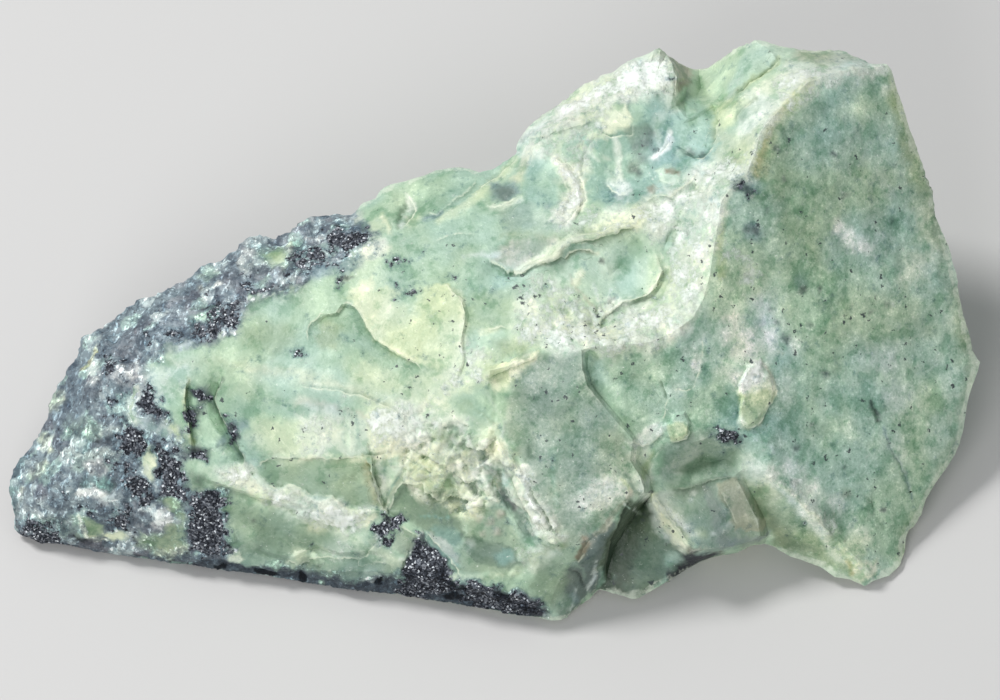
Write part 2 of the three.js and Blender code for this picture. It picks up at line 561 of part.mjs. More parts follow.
// Delaunay triangles over points [x, y], by adding one point at a time. Each triangle
// keeps its circle, and a new point replaces the triangles whose circles it lies in.
function triangulate(points) {
  const far = 1000;
  const all = [...points.map(([x, y]) => [x, y]), [-far, -far], [far, -far], [0, far]];
  const circled = (a, b, c) => {
    const [ax, ay] = all[a];
    const [bx, by] = [all[b][0] - ax, all[b][1] - ay];
    const [cx, cy] = [all[c][0] - ax, all[c][1] - ay];
    const d = 2 * (bx * cy - by * cx);
    const x = (cy * (bx * bx + by * by) - by * (cx * cx + cy * cy)) / d;
    const y = (bx * (cx * cx + cy * cy) - cx * (bx * bx + by * by)) / d;
    return { corners: [a, b, c], x: ax + x, y: ay + y, r2: x * x + y * y };
  };
  let triangles = [circled(points.length, points.length + 1, points.length + 2)];
  for (let p = 0; p < points.length; p++) {
    const [x, y] = all[p];
    const kept = [];
    const edges = new Map();
    for (const t of triangles) {
      if ((x - t.x) ** 2 + (y - t.y) ** 2 >= t.r2) {
        kept.push(t);
        continue;
      }
      for (let k = 0; k < 3; k++) {
        const [a, b] = [t.corners[k], t.corners[(k + 1) % 3]];
        if (edges.has(b + "," + a)) edges.delete(b + "," + a);
        else edges.set(a + "," + b, [a, b]);
      }
    }
    for (const [a, b] of edges.values()) kept.push(circled(a, b, p));
    triangles = kept;
  }
  return triangles.map((t) => t.corners).filter((t) => t.every((c) => c < points.length));
}

// A repeatable stream of numbers from 0 to 1.
function numbers(seed) {
  let state = seed;
  return () => {
    state = (state * 1664525 + 1013904223) % 4294967296;
    return state / 4294967296;
  };
}

// Free points over a plan, in staggered rows with some scatter, clear of the lines' points.
function scatter(plan, grain, linePoints, seed) {
  const random = numbers(seed);
  const made = [];
  const row = grain * 0.87;
  for (let j = -32 / row; j < 33 / row; j++) {
    for (let i = -50 / grain; i < 50 / grain; i++) {
      const x = (i + (Math.round(j) % 2 ? 0.5 : 0) + (random() - 0.5) * 0.7) * grain;
      const y = (j + (random() - 0.5) * 0.7) * row;
      const clear = linePoints.every(
        (p) => Math.hypot(p[0] - x, p[1] - y) > CLEAR_OF_LINES * grain,
      );
      if (inside(x, y, plan) && clear) made.push([x, y]);
    }
  }
  return made;
}

// The points, without those that repeat one before them, as where two lines meet.
function apart(points) {
  const kept = [];
  for (const p of points) {
    if (kept.every((q) => Math.hypot(p[0] - q[0], p[1] - q[1]) > MEETING)) kept.push(p);
  }
  return kept;
}

// Each point's neighbours over the triangles, with the cotangent weights that keep a
// flat skin flat however its points are scattered.
function neighbourWeights(points, triangles) {
  const weights = points.map(() => new Map());
  for (const corners of triangles) {
    for (let k = 0; k < 3; k++) {
      const [i, j, across] = [0, 1, 2].map((n) => corners[(k + n) % 3]);
      const [ax, ay] = [points[i][0] - points[across][0], points[i][1] - points[across][1]];
      const [bx, by] = [points[j][0] - points[across][0], points[j][1] - points[across][1]];
      const half = Math.max((ax * bx + ay * by) / Math.abs(ax * by - ay * bx) / 2, LEAST_WEIGHT);
      weights[i].set(j, (weights[i].get(j) ?? 0) + half);
      weights[j].set(i, (weights[j].get(i) ?? 0) + half);
    }
  }
  return weights.map((near) => {
    const total = [...near.values()].reduce((sum, w) => sum + w, 0);
    return [...near].map(([n, w]) => [n, w / total]);
  });
}

// The outs of the points from first on, bent as little as they can be: it makes the sum of
// the squared bends at every point from firstBent on least, by conjugate gradients, with
// the points before first held. A held point before firstBent may be a sharp crease.
function leastBent(outs, near, first, firstBent) {
  const bend = (values) => {
    const bends = new Float64Array(values.length);
    for (let i = firstBent; i < values.length; i++) {
      let mean = 0;
      for (const [n, w] of near[i]) mean += w * values[n];
      bends[i] = values[i] - mean;
    }
    return bends;
  };
  const pull = (bends) => {
    const pulls = new Float64Array(bends.length);
    for (let i = firstBent; i < bends.length; i++) {
      pulls[i] += bends[i];
      for (const [n, w] of near[i]) pulls[n] -= w * bends[i];
    }
    return pulls.fill(0, 0, first);
  };
  const dot = (a, b) => a.reduce((sum, v, i) => sum + v * b[i], 0);
  const left = pull(bend(outs)).map((v) => -v);
  let way = left.slice();
  let size = dot(left, left);
  for (let round = 0; round < SOLVER_ROUNDS && size > 1e-12; round++) {
    const turned = pull(bend(way));
    const step = size / dot(way, turned);
    for (let i = first; i < outs.length; i++) {
      outs[i] += step * way[i];
      left[i] -= step * turned[i];
    }
    const next = dot(left, left);
    way = way.map((v, i) => left[i] + (next / size) * v);
    size = next;
  }
}

// The skin of one side: the smoothest sheet that passes through the rim, the lines and the
// swells, and that creases at the rim and the lines alone. Gives its points and triangles.
function skin({ rim, lines, soft, loose, grain, seed, finish }) {
  const held = apart([...rim, ...lines]);
  const swellsEnd = held.length + soft.length;
  const placed = apart([...held, ...soft, ...loose.map(([x, y]) => [x, y, START_OUT])]);
  const free = scatter(rim, grain, placed, seed);
  const points = [...placed, ...free.map(([x, y]) => [x, y, START_OUT])];
  const cover = () => {
    const jog = numbers(seed + 1);
    const plan = points.map(([x, y]) => [x + jog() * 1e-5, y + jog() * 1e-5]);
    return triangulate(plan).filter((t) => inside(...middle(t, points), rim));
  };
  // a triangle with all its corners on the rim gets a point inside it, so that the two
  // skins don't lie on each other there
  for (const t of cover()) {
    if (t.every((i) => i < rim.length)) points.push([...middle(t, points), START_OUT]);
  }
  const triangles = cover();
  const outs = points.map((p) => p[2]);
  leastBent(outs, neighbourWeights(points, triangles), swellsEnd, held.length);
  return {
    points: points.map(([x, y], i) => (i < rim.length ? points[i] : [x, y, finish(x, y, outs[i])])),
    triangles,
  };
}

// The middle of a triangle's plan.
function middle(corners, points) {
  return [0, 1].map((k) => corners.reduce((sum, i) => sum + points[i][k], 0) / 3);
}

const rim = along(outline, RIM_STEP, true);

const shown = skin({
  rim,
  lines: [
    ...Object.values(sharpLines).flatMap((line) => along(line, LINE_STEP)),
    ...flakes.flatMap((flake) => ledge(flake).flat()),
  ],
  soft: swells,
  loose: chips.flatMap(({ lip, closed }) => (
    rows(along(lip, LEDGE_STEP, closed), LEDGE_RUN, closed).flat()
  )),
  grain: SHOWN_GRAIN,
  seed: 11,
  finish: (x, y, out) => {
    const shifts = chips.reduce((sum, chip) => sum + chipShift(chip, x, y), 0);
    return out + shifts - scooped(x, y) + relief(x, y) * lumps(x, y, out, 4.2);
  },
});

// Behind the back part of the outline, where the skin turns downwards.
const [, inward] = rows(rim, 2 * TURN_RUN, true);
const turned = inward
  .map(([x, y], i) => [x, y, rim[i][2] - read(turns, x), y < rim[i][1] - 0.15])
  .filter(([x, y, , behind]) => behind && inside(x, y, rim))
  .map(([x, y, out]) => [x, y, out]);

const nearRim = scatter(rim, RIM_GRAIN, [...rim, ...turned], 31).filter(([x, y]) => (
  rim.some((p) => Math.hypot(p[0] - x, p[1] - y) < RIM_BAND)
));

const back = skin({
  rim,
  lines: [
    ...along(base, BACK_GRAIN, true),
    ...Object.values(backLines).flatMap((line) => along(line, BACK_GRAIN)),
  ],
  soft: turned,
  loose: nearRim,
  grain: BACK_GRAIN,
  seed: 23,
  finish: (x, y, out) => {
    const [, , ground] = onGround(x, y);
    if (inside(x, y, base)) return ground;
    const share = Math.min(1, Math.max(0, (out - ground) / 3));
    return Math.max(ground, out) + share * (scarred(x, y) + BACK_RELIEF * lumps(x, y, out, 8));
  },
});

// One closed surface from both skins. They share the rim, and the back faces the other way.
function stoneGeometry() {
  const positions = [];
  const put = (points, triangles, flip) => {
    for (const [a, b, c] of triangles) {
      for (const i of flip ? [a, c, b] : [a, b, c]) positions.push(...inSpace(points[i]));
    }
  };
  put(shown.points, shown.triangles, false);
  put(back.points, back.triangles, true);
  const geometry = new THREE.BufferGeometry();
  geometry.setAttribute("position", new THREE.Float32BufferAttribute(positions, 3));
  geometry.computeBoundingBox();
  const { min, max } = geometry.boundingBox;
  geometry.translate(-(min.x + max.x) / 2, -(min.y + max.y) / 2, -min.z);
  const closed = mergeVertices(geometry, 1e-4);
  closed.computeVertexNormals();
  return closed;
}

const serpentine = new THREE.MeshStandardMaterial({
  name: "serpentine",
  color: new THREE.Color(0.5, 0.6, 0.47),
  roughness: 0.55,
  metalness: 0,
});

const stone = new THREE.Mesh(stoneGeometry(), serpentine);
stone.name = "stone";

const serpentinite = new THREE.Group();
serpentinite.name = "raw_serpentinite";
serpentinite.add(stone);

export default serpentinite;
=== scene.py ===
import math

import bmesh
import bpy
import numpy as np
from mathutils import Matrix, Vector, noise


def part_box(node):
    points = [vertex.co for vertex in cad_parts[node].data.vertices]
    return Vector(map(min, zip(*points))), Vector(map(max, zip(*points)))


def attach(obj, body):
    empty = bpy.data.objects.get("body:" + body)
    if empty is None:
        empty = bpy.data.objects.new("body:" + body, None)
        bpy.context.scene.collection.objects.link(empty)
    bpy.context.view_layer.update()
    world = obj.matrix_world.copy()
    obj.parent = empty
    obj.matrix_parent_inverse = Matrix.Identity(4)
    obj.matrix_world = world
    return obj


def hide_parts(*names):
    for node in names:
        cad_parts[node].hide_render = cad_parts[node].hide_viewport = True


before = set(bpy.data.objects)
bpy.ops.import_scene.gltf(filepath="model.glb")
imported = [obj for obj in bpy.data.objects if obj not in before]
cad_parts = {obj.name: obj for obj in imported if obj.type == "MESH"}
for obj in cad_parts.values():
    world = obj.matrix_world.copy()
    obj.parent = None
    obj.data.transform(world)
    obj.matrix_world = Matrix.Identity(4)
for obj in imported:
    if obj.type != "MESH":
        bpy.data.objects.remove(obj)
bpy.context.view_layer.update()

# --- Stone -----------------------------------------------------------------------------------
# One raw lump of serpentinite, broken out by hammer: waxy green breaks with pale, bruised
# edges, and on the left the crust of the vein wall, dark with grains of magnetite. It formed
# as one piece. The solid's form is refined, eased and roughened, and then painted.

# The broken side is laid out in millimetres as (across, up, out): across to the right, up the
# tilted side, and out of it. Its zero point follows the solid's nose.
MM = 1000  # in a metre
SIDE_RISE = math.radians(55)
MIDDLE = 0.5  # where the side's zero point lies across, mm
NOSE_REACH = 33.556  # how far the nose lies in front of it, mm
nose_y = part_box("stone")[0].y * MM
ZERO = Vector((MIDDLE, nose_y + NOSE_REACH, 0.0))
ACROSS = Vector((1, 0, 0))
UP = Vector((0, math.sin(SIDE_RISE), math.cos(SIDE_RISE)))
OUT = Vector((0, -math.cos(SIDE_RISE), math.sin(SIDE_RISE)))

# Many of these tones are also laid as painted shade or painted light, where the patches below say so: dark
# ones such as shade, jade, dusk, hollow, night and bottle, and light ones such as linen and pale.
TONES = {
    "green": (0.36, 0.515, 0.41), "green_cool": (0.365, 0.525, 0.43), "leaf": (0.37, 0.53, 0.375),
    "deep": (0.3, 0.455, 0.36), "pale": (0.48, 0.625, 0.5), "sea": (0.4, 0.575, 0.48),
    "teal": (0.27, 0.43, 0.38), "sea_deep": (0.19, 0.34, 0.3), "olive": (0.29, 0.38, 0.24),
    "olive_deep": (0.25, 0.34, 0.235), "moss": (0.43, 0.53, 0.32), "ochre": (0.44, 0.42, 0.19),
    "buff": (0.56, 0.61, 0.46), "tan": (0.45, 0.465, 0.39), "brown": (0.2, 0.18, 0.12),
    "cream": (0.58, 0.68, 0.48), "ivory": (0.76, 0.82, 0.64), "white": (0.9, 0.92, 0.86),
    "whitish": (0.68, 0.765, 0.68), "frost": (0.62, 0.71, 0.69), "rose": (0.8, 0.78, 0.73),
    "lilac": (0.58, 0.68, 0.72), "slate": (0.2, 0.3, 0.33), "ash": (0.39, 0.47, 0.43),
    "stone_grey": (0.3, 0.39, 0.315), "hollow": (0.225, 0.32, 0.265), "shade": (0.15, 0.23, 0.17),
    "ink": (0.045, 0.065, 0.065), "bottle": (0.06, 0.09, 0.06), "fern": (0.31, 0.43, 0.3),
    "dusk": (0.17, 0.25, 0.205), "celadon": (0.44, 0.585, 0.47), "graphite": (0.105, 0.145, 0.14),
    "linen": (0.66, 0.745, 0.58), "butter": (0.87, 0.91, 0.73), "drab": (0.34, 0.375, 0.29),
    "pewter": (0.24, 0.3, 0.29), "night": (0.013, 0.018, 0.024), "mist": (0.215, 0.27, 0.29),
    "mauve": (0.15, 0.145, 0.17), "steel": (0.115, 0.15, 0.18), "jade": (0.245, 0.36, 0.275),
    "khaki": (0.42, 0.45, 0.28),
}
MASKS = ["crust", "magnetite", "chalk", "pepper", "milk", "crumbs", "splinters", "streaks", "fan", "mottled"]

# Patches, one above the other. Each has a name, then its tone or mask, its cover, how soft its
# border is and, where it has one, its rise in millimetres, then its shape. Discs have a centre and
# a radius each, a line has its width and its points, and an area has the points of its outline.
# Lengths are in tenths of a millimetre, and an indented line carries its row on. The mask "bare"
# takes the crust and its grains off again.
# Painted light on the right side of the face.
# Painted shade deep in the notch.
# Painted shade in the dimple.
# Painted shade in the dip.
# Painted shade in the hollow by the ridge.
# Painted shade inside the pocket, under its edge.
# Painted shade low on the corner.
# Painted shadow under the lip.
# The hem band is the crust's dark underside, and its night tones add painted shade where it lies in shade;
# its lilac glint is a painted reflection.
# The hollow lies in shade: its tone is painted shade, left lighter on its floor.
# The under facet lies in shade under the nose: its bottle tone, the jade and dusk over it, its foot and its
# slate end are painted shade.
PATCHES = """
# The crust's bed
crust, bed | mist 1 6 | -124 118 -120 102 -140 88 -170 78 -200 64 -230 54 -258 38 -258 14 -295 6 -320 0
  -335 -6 -350 -30 -338 -50 -324 -72 -314 -90 -314 -140 -268 -140 -266 -210 -260 -230 -500 -230 -510 -130
  -470 -70 -430 20 -350 80 -270 135 -200 160 -155 150
# Right face
right face | sea 0.45 10 | 390 290 340 280 315 268 275 232 262 210 255 170 235 160 218 145 215 90 203 60
  200 15 160 -2 85 -2 90 -50 140 -90 200 -90 245 -128 360 -240 405 -240 495 -10 440 170
deeper upper part | jade 0.4 25 | 275 225 320 255 370 250 405 200 425 130 390 110 360 140 320 110 290 50
  245 100 230 135 260 160
dark mottles | jade 0.35 8 | discs 290 170 10 342 210 9 400 175 8 290 80 9 335 50 8 305 0 8 368 5 9
  338 -22 8 390 -60 9 315 -80 9 345 -120 8 280 -90 7 260 50 7 240 10 7
hollow by the ridge | jade 0.6 8 | line 12 268 228 266 200 260 172
olive shade | olive 0.35 18 | discs 315 115 26 395 35 24 380 145 18 345 20 20 290 120 14
pale left | pale 0.9 18 | 222 88 280 88 295 50 290 5 260 -22 225 -35 200 -22 203 40
right rim | olive_deep 0.9 10 | line 22 395 260 425 160 440 110 462 50 475 -10 462 -80 435 -150 405 -210
right rim, olive corner | moss 0.6 8 | line 14 388 272 405 220 422 170
white cloud | white 0.75 6 | discs 348 114 9 362 106 6 338 124 6 372 103 5 350 100 6
white fleck | milk 0.75 9 | discs 244 86 8 252 76 6 236 92 5 228 94 5 248 70 5
lower flecks | rose 0.6 6 | discs 230 28 9 228 14 7 240 22 6 236 0 5
frost by the scab | whitish 0.5 10 | discs 280 -32 8 284 -48 7 222 -25 7 290 10 8 270 -2 6
rim cloud | linen 0.8 9 | discs 418 80 15 430 88 9 405 72 8
rim fleck | milk 0.45 8 | line 5 428 110 437 96
light mottles | celadon 0.8 8 | discs 362 242 9 302 200 10 326 180 8 382 200 9 378 150 8 305 135 9
  270 135 8 322 80 12 372 50 10 350 20 12 415 20 12 400 -20 14 360 -30 12 320 -50 12 435 -50 12
  380 -100 14 420 -90 10 350 -80 9
ridge shade | olive_deep 0.45 10 | line 26 300 238 283 208 276 175 276 145
fern stains | fern 0.45 7 | discs 358 180 7 386 128 7 405 65 8 345 40 7 378 82 6 330 158 6 290 145 6
  318 100 7
blue stains | slate 0.55 5 | discs 252 118 9 345 154 5 362 192 5 396 160 4 300 67 6 245 162 6
bright upper rim | pale 0.45 14 | 338 250 372 250 390 220 405 180 415 145 390 135 368 155 350 190 336 220
rim light | linen 0.5 8 | 418 145 430 145 438 105 432 88 422 110
pale band | pale 0.55 12 | 352 58 380 52 402 20 396 5 372 20 352 38
bright low rim | pale 0.6 14 | 420 -38 462 -34 458 -80 438 -118 418 -132 405 -100 412 -60
glow | linen 0.85 12 | 235 28 262 24 275 0 268 -18 248 -10 235 5
low shade | jade 0.6 12 | discs 405 92 13 414 28 14 326 98 12 220 138 8
dim belly | deep 0.5 16 | 282 -28 350 -28 370 -50 348 -75 315 -75 290 -58
ridge edge, olive strip | moss 0.75 3 | line 8 222 150 220 125 219 100 222 75
ridge edge, olive shade | olive_deep 0.8 4 | line 9 310 268 295 248 278 232 268 215 260 195 252 178
dark spots | graphite 0.9 2 | discs 283 13 4 346 154 4 255 120 4 247 121 3 389 44 4 295 -132 4 347 -148 4
  235 163 5 303 59 4 257 -141 3 274 27 3 261 28 3 297 -96 3 268 41 2 317 62 3 308 25 2 333 195 3 393 129 2
  371 37 2 312 -75 2 342 -116 2 384 -160 3 326 -25 3
ridge's dark spots | graphite 0.85 2 | discs 273 221 4 269 210 4 276 200 4 263 180 4 257 172 3 220 138 2
  231 137 2 263 137 2 282 169 2
right side | pale 0.4 25 | 368 65 455 65 472 -20 450 -115 405 -150 385 -70
top corner | whitish 0.6 6 | discs 355 270 8 382 262 6
upper shade | jade 0.5 12 | discs 320 230 16 300 205 12 286 185 9
dark streak | ink 0.85 1.2 | line 3 372 -52 377 -61 382 -71
blue hairline | slate 0.7 1.2 | line 2.5 384 -78 392 -96 400 -114 408 -132 414 -152
frost above the scab | white 0.95 7 | discs 260 11 12 252 -3 7
pale by the rim | frost 0.5 12 | discs 380 110 15 382 164 10 380 -10 14 400 -50 14 400 -98 9
jade stains | jade 0.45 9 | discs 340 152 12 262 148 9 340 -70 12 430 20 11 280 90 8 320 230 8 400 95 8
  320 48 7
frost by the ridge | frost 0.7 7 | discs 262 32 8 258 48 9
# Ridge top and its bright plane
crest lobe | celadon 1 4 | 200 284 235 306 255 312 350 302 368 290 345 284 290 284 265 268 245 260 222 250
  215 225 200 240
crest lobe, green inside | sea 0.55 6 | 212 280 240 292 260 295 245 278 230 262 212 255
crest lobe, light | pale 0.6 6 | discs 200 268 8 190 255 6 252 290 8 230 270 7
crest plane | whitish 0.95 4 | 222 250 245 258 268 268 285 284 365 288 390 288 392 278 345 276 322 270
  302 254 280 238 262 220 245 216 235 220 242 238 240 250
crest plane, powder | milk 0.6 9 | 268 268 285 282 365 287 388 286 345 277 322 271 302 255 286 246 275 258
crest edge, powder | milk 0.75 8 | line 7 385 282 345 276 322 268 304 254 286 238 268 222 252 202 244 182
crest plane, cream foot | cream 0.9 4 | 212 244 235 254 257 256 245 244 238 232 222 220 214 226
crest fold | moss 0.75 2.5 -0.15 | line 5 238 258 252 270 268 282 280 292
crest fold, second | olive_deep 0.8 2.5 | line 4 238 238 248 246 258 253
crest end, pinkish | tan 0.6 5 | 300 302 350 302 368 290 340 286 300 288
below the crest | buff 0.6 6 | 215 220 255 218 260 200 252 182 242 168 220 180 210 195
crest plane, low light | jade 0.9 8 | discs 246 239 10
ridge edge, olive band | ochre 0.5 2.5 | line 8 312 270 296 257 281 240 269 220 261 198 254 174
ridge edge, olive glow | moss 0.6 4 | line 9 318 268 302 254 288 238 276 218 268 196 260 172
# Shoulder
shoulder | whitish 0.95 5 0.05 | 15 202 20 218 60 250 80 268 120 282 140 294 160 302 174 288 177 255
  160 250 120 250 80 230 45 218 25 200
powder | milk 0.7 9 0.04 | 20 210 45 232 80 258 120 274 155 286 172 280 172 258 140 258 100 246 60 226
  30 206
white face | milk 0.85 8 | 110 276 140 288 168 288 174 274 170 258 140 254 118 258
lilac | rose 0.6 5 | 35 223 60 242 100 252 132 256 140 250 104 240 80 228 50 218
moss peak | olive 0.8 4 | 145 292 162 300 170 292 155 286
grey end | tan 0.9 3 | 166 295 180 292 195 282 190 268 176 256 174 284
brown shade | brown 0.7 4 | 176 272 190 268 184 258 176 256
moss fall | olive 0.6 4 | 160 272 174 276 176 255 164 252
shoulder facet | ivory 0.9 2 0.15 | 98 234 112 244 125 246 132 232 130 216 112 216 100 222
blue notch | graphite 0.7 3 | line 5 22 209 30 214 40 217
cream foot | butter 0.7 4 | 20 205 40 212 60 218 85 224 100 216 80 210 60 214 40 200 25 192
glow | whitish 0.6 8 | discs 43 206 13
dim foot | deep 0.5 6 | discs 80 216 10 80 190 8 155 260 7
# Basin
basin | teal 0.95 5 -0.12 | 75 220 100 216 132 220 150 250 190 252 212 240 217 210 205 192 190 190 180 178
  160 150 140 150 120 145 100 150 90 145 83 160 78 185 65 205
light floor | sea 0.7 8 | 180 245 212 235 215 205 200 195 185 200 172 220
dusky streaks | dusk 0.75 3 | 125 222 148 228 155 220 148 208 140 195 150 185 140 174 128 180 132 200
dark end | ink 0.6 3 | discs 156 255 4 145 190 5 136 182 5 200 195 5 190 200 4
pale lens | pale 0.95 2 0.06 | 85 201 92 202 106 192 108 188 98 189
rose lens | rose 0.95 2 0.06 | 102 199 110 194 111 189 104 192
white rib | frost 0.85 2.5 0.06 | line 8 115 210 118 192 120 170
white blob | frost 0.85 3 0.08 | discs 112 168 6 122 162 8 130 158 5 118 154 6 108 176 4
white vein | white 0.9 2.5 0.08 | 170 216 174 212 168 202 160 190 154 188 156 198 162 208
small sea-green grains | sea 0.8 3 0.04 | discs 130 193 4 145 184 4 150 179 4 92 160 3 100 180 3 112 184 4
long pale lens | pale 0.9 2.5 0.1 | 156 182 168 186 180 184 180 170 164 168
brown speck | brown 0.9 1.5 | line 5 169 181 179 179
brown speck low | brown 0.8 1.5 | discs 152 160 4
basin rim, chalk | milk 0.62 9 0.06 | 140 144 160 154 190 165 200 185 225 190 242 185 245 168 222 165
  212 154 200 145 180 138 172 118 155 108 140 122 122 135 100 128 90 122 75 112 65 118 90 138 115 144
basin rim, bed | ivory 0.6 6 | 120 144 155 154 190 165 200 185 230 190 242 182 242 168 222 162 205 147
  182 138 172 118 155 110 140 124 100 128
basin rim, cream | ivory 0.6 5 | 180 155 205 172 230 164 212 150 190 138 175 125 168 112 155 110 168 135
basin rim, pale flecks | pale 0.6 3 | discs 200 180 5 212 182 5 235 175 5 125 144 5
basin rim, dark | ink 0.75 2 | line 5 220 178 228 182 235 187
basin rim, dark two | night 0.7 2.5 | line 8 235 168 242 160 248 152
basin rim, grey | graphite 0.6 2.5 | discs 205 175 4 210 172 3 135 124 4 141 126 3 149 130 3
bright streak | whitish 0.7 5 | line 7 158 198 156 220 161 238
bright spots | whitish 0.7 5 | discs 172 247 8 182 198 6
dim spot | deep 0.5 6 | discs 140 194 8
dark grains | graphite 0.6 3.5 | discs 145 210 5 152 201 5 141 193 4 149 219 4 135 204 3
pale blade | white 0.8 2 0.06 | line 6 155 192 161 200 167 210 171 217
light by the lens | pale 0.4 6 | discs 190 230 7
# White flank under the right ridge
flank | whitish 0.9 6 | 218 160 220 135 216 100 206 75 202 50 190 25 172 10 150 0 155 20 168 50 160 88
  172 110 185 125 190 145 205 155
powder | milk 0.6 9 | 218 155 217 120 214 95 204 75 200 50 188 28 170 12 150 4 155 25 172 50 180 88
  192 115 200 145
crest light | milk 0.5 6 | line 5 216 150 215 120 213 92 204 68 199 46 188 26
green marks | sea 0.55 4 | discs 200 122 5 194 100 5 188 80 6 196 58 5 180 50 6 184 30 5 170 32 5
  204 106 4 190 135 4
sea green | green_cool 0.9 4 | 190 147 200 150 196 134 188 114 178 94 168 82 160 94 164 110 172 120
  180 132
dark nick | deep 0.6 4 | line 6 218 182 242 182
# Recess
recess | pale 0.9 4 | 50 88 62 100 80 107 105 110 120 114 140 120 155 108 158 88 168 60 155 40 130 45
  90 50 60 55 30 60 15 70 30 78
deep under lip | jade 0.7 4 | 40 82 60 94 80 102 105 104 80 92 60 82 35 74
fan | pale 0.7 6 0.05 | 75 65 100 54 115 48 106 34 100 16 120 5 145 2 100 -2 60 0 30 15 20 40 45 50 60 60
fan powder | milk 0.62 10 0.05 | 30 32 60 36 90 28 102 16 140 20 160 15 150 2 100 -2 60 0 35 10
apron powder | milk 0.5 10 0.03 | 16 60 40 75 75 70 80 58 60 45 30 38
ray one | tan 0.8 2 0.06 | line 3 100 34 90 46 78 60 70 74
ray two | frost 0.8 2 0.05 | line 2.5 102 36 98 52 94 66
ray three | frost 0.7 2 0.05 | line 2.5 98 32 84 40 66 50
ray four | frost 0.7 2 0.05 | line 2.5 106 38 110 52 112 62
knob | ivory 0.85 2.5 0.1 | discs 80 76 5 77 70 4
crest light | linen 0.9 2.5 0.05 | line 5 101 30 110 40 122 48 136 52 148 58 156 66 160 76
crest ochre | ochre 0.5 3 | line 3 103 24 108 36
below the crest of the recess | milk 0.6 9 0.03 | 110 28 125 38 145 44 160 50 168 60 176 50 168 20 145 5
  120 10
flank foot, white patch | white 0.7 6 | discs 155 28 9 168 38 7 145 20 7
recess arc, light | buff 0.7 1.5 0.04 | line 3 66 91 74 97 88 99 98 95
speck | ink 0.85 1 | discs 102 89 3
right crest | white 0.85 5 | line 9 110 38 128 45 146 52 157 62 163 73
glow | linen 0.5 8 | discs 112 82 9
dim lobe | jade 0.4 7 | discs 140 82 9
far glow | linen 0.9 7 | line 10 74 120 94 114
# Lip
lip | tan 0.9 3 0.06 | -14 100 5 107 25 112 45 116 58 112 66 110 72 110 62 100 56 92 48 88 40 86 32 82
  22 77 12 80 0 83 -12 90
upper sheet | ivory 0.85 3 0.06 | 45 100 60 112 75 118 90 124 112 132 140 142 152 134 140 122 118 115
  105 112 90 110 75 107 65 100 56 92 45 88 30 82 20 78 15 82 30 90
powder | milk 0.45 9 | 85 118 112 130 140 138 150 130 136 120 100 114
above the lip, olive shade | olive 0.85 6 | -2 122 30 118 70 122 60 112 30 112 0 106
above the lip, green | hollow 0.7 8 | -5 145 40 145 60 128 45 118 0 120
# Bowl
bowl | teal 0.8 5 -0.08 | 25 190 45 194 56 180 65 160 58 145 45 135 30 145 20 160
light | sea 0.6 4 | discs 45 172 8 35 150 6 45 185 5
dark | slate 0.6 2.5 | discs 25 188 3 47 142 4 60 145 3
buff rim, left | buff 0.85 3 0.05 | 12 175 20 185 24 200 32 198 24 182 20 168 13 168
chalk arc | white 0.95 3 0.1 | 53 194 63 190 72 188 80 178 83 165 84 152 80 144 70 136 60 126 45 130
  56 138 66 150 70 160 62 175
chalk arc, powder | milk 0.75 8 | 53 194 63 190 72 188 80 178 83 165 84 152 80 144 70 136 60 126 45 130
  56 138 66 150 70 160 62 175
chalk arc, low light | pale 0.7 5 0.03 | 30 145 45 142 52 132 45 122 35 125
between arc and basin | teal 0.8 4 | 60 218 85 210 80 190 70 192 60 202
chalk arc, wide | white 0.8 3 0.05 | line 9 56 192 68 183 78 169 82 154 78 141 66 129
teal shade | teal 0.7 6 | 88 208 106 210 116 192 112 172 100 158 90 168 86 190
teal's streaks | frost 0.7 1.5 0.03 | line 3 84 200 92 194 100 190
dim spots | teal 0.35 8 | discs 98 190 9 102 168 8 142 248 9
# Left lobe
pale face | pale 0.7 6 | -115 162 -80 172 -90 160 -102 145 -110 130 -117 145
deep facet | deep 0.9 2 | -88 150 -70 156 -45 164 -26 168 -38 158 -55 145 -65 137 -80 137
lobe groove | shade 0.7 2 -0.15 | line 4 -93 152 -98 140 -102 122
white ribs | frost 0.85 2.5 0.05 | -96 158 -88 154 -85 144 -88 134 -94 128 -98 120 -102 124 -98 134
  -94 144
white rib two | ivory 0.8 2.5 0.05 | line 4 -116 132 -112 124 -110 114
lobe ridge band | cream 0.75 3 0.05 | line 10 -60 130 -44 138 -30 148 -12 162 5 180 15 192
blue dash | slate 0.8 2 | line 4 -74 132 -60 138
blue hollow | slate 0.85 4 -0.12 | -8 166 15 170 20 160 8 150 -8 152
dark heart | graphite 0.7 3 | -6 160 2 165 12 163 12 156 4 151 -4 153
white foot | whitish 0.85 3 0.03 | -17 148 0 147 20 154 22 148 5 140 -12 140
border glow | linen 0.6 6 | discs -85 128 9
# Level top
level top | green 0.9 10 | -150 100 -100 115 -60 125 0 145 0 105 -10 85 20 75 60 55 20 40 15 10 30 0
  -10 -15 -30 -30 -70 -25 -100 0 -120 50
pale head | pale 0.85 6 | -148 100 -128 112 -112 108 -115 88 -110 65 -122 40 -138 35 -155 50 -160 65
  -150 85
white spot | milk 0.45 8 | discs -122 100 9 -130 107 6 -138 92 5
white head | white 0.75 3 0.02 | -142 98 -132 105 -116 111 -112 102 -120 92 -134 87
cream head | ivory 0.8 3 | -152 56 -140 69 -128 73 -127 58 -136 49 -148 48
white streak | frost 0.7 2.5 | line 4 -35 94 -20 95 -3 93
green slope | fern 0.8 6 | -35 58 20 65 20 50 10 25 -20 18 -34 10
cream layer | cream 0.85 2 | -160 52 -148 47 -142 38 -134 25 -127 15 -119 4 -109 -2 -97 -6 -86 -10 -80 -16
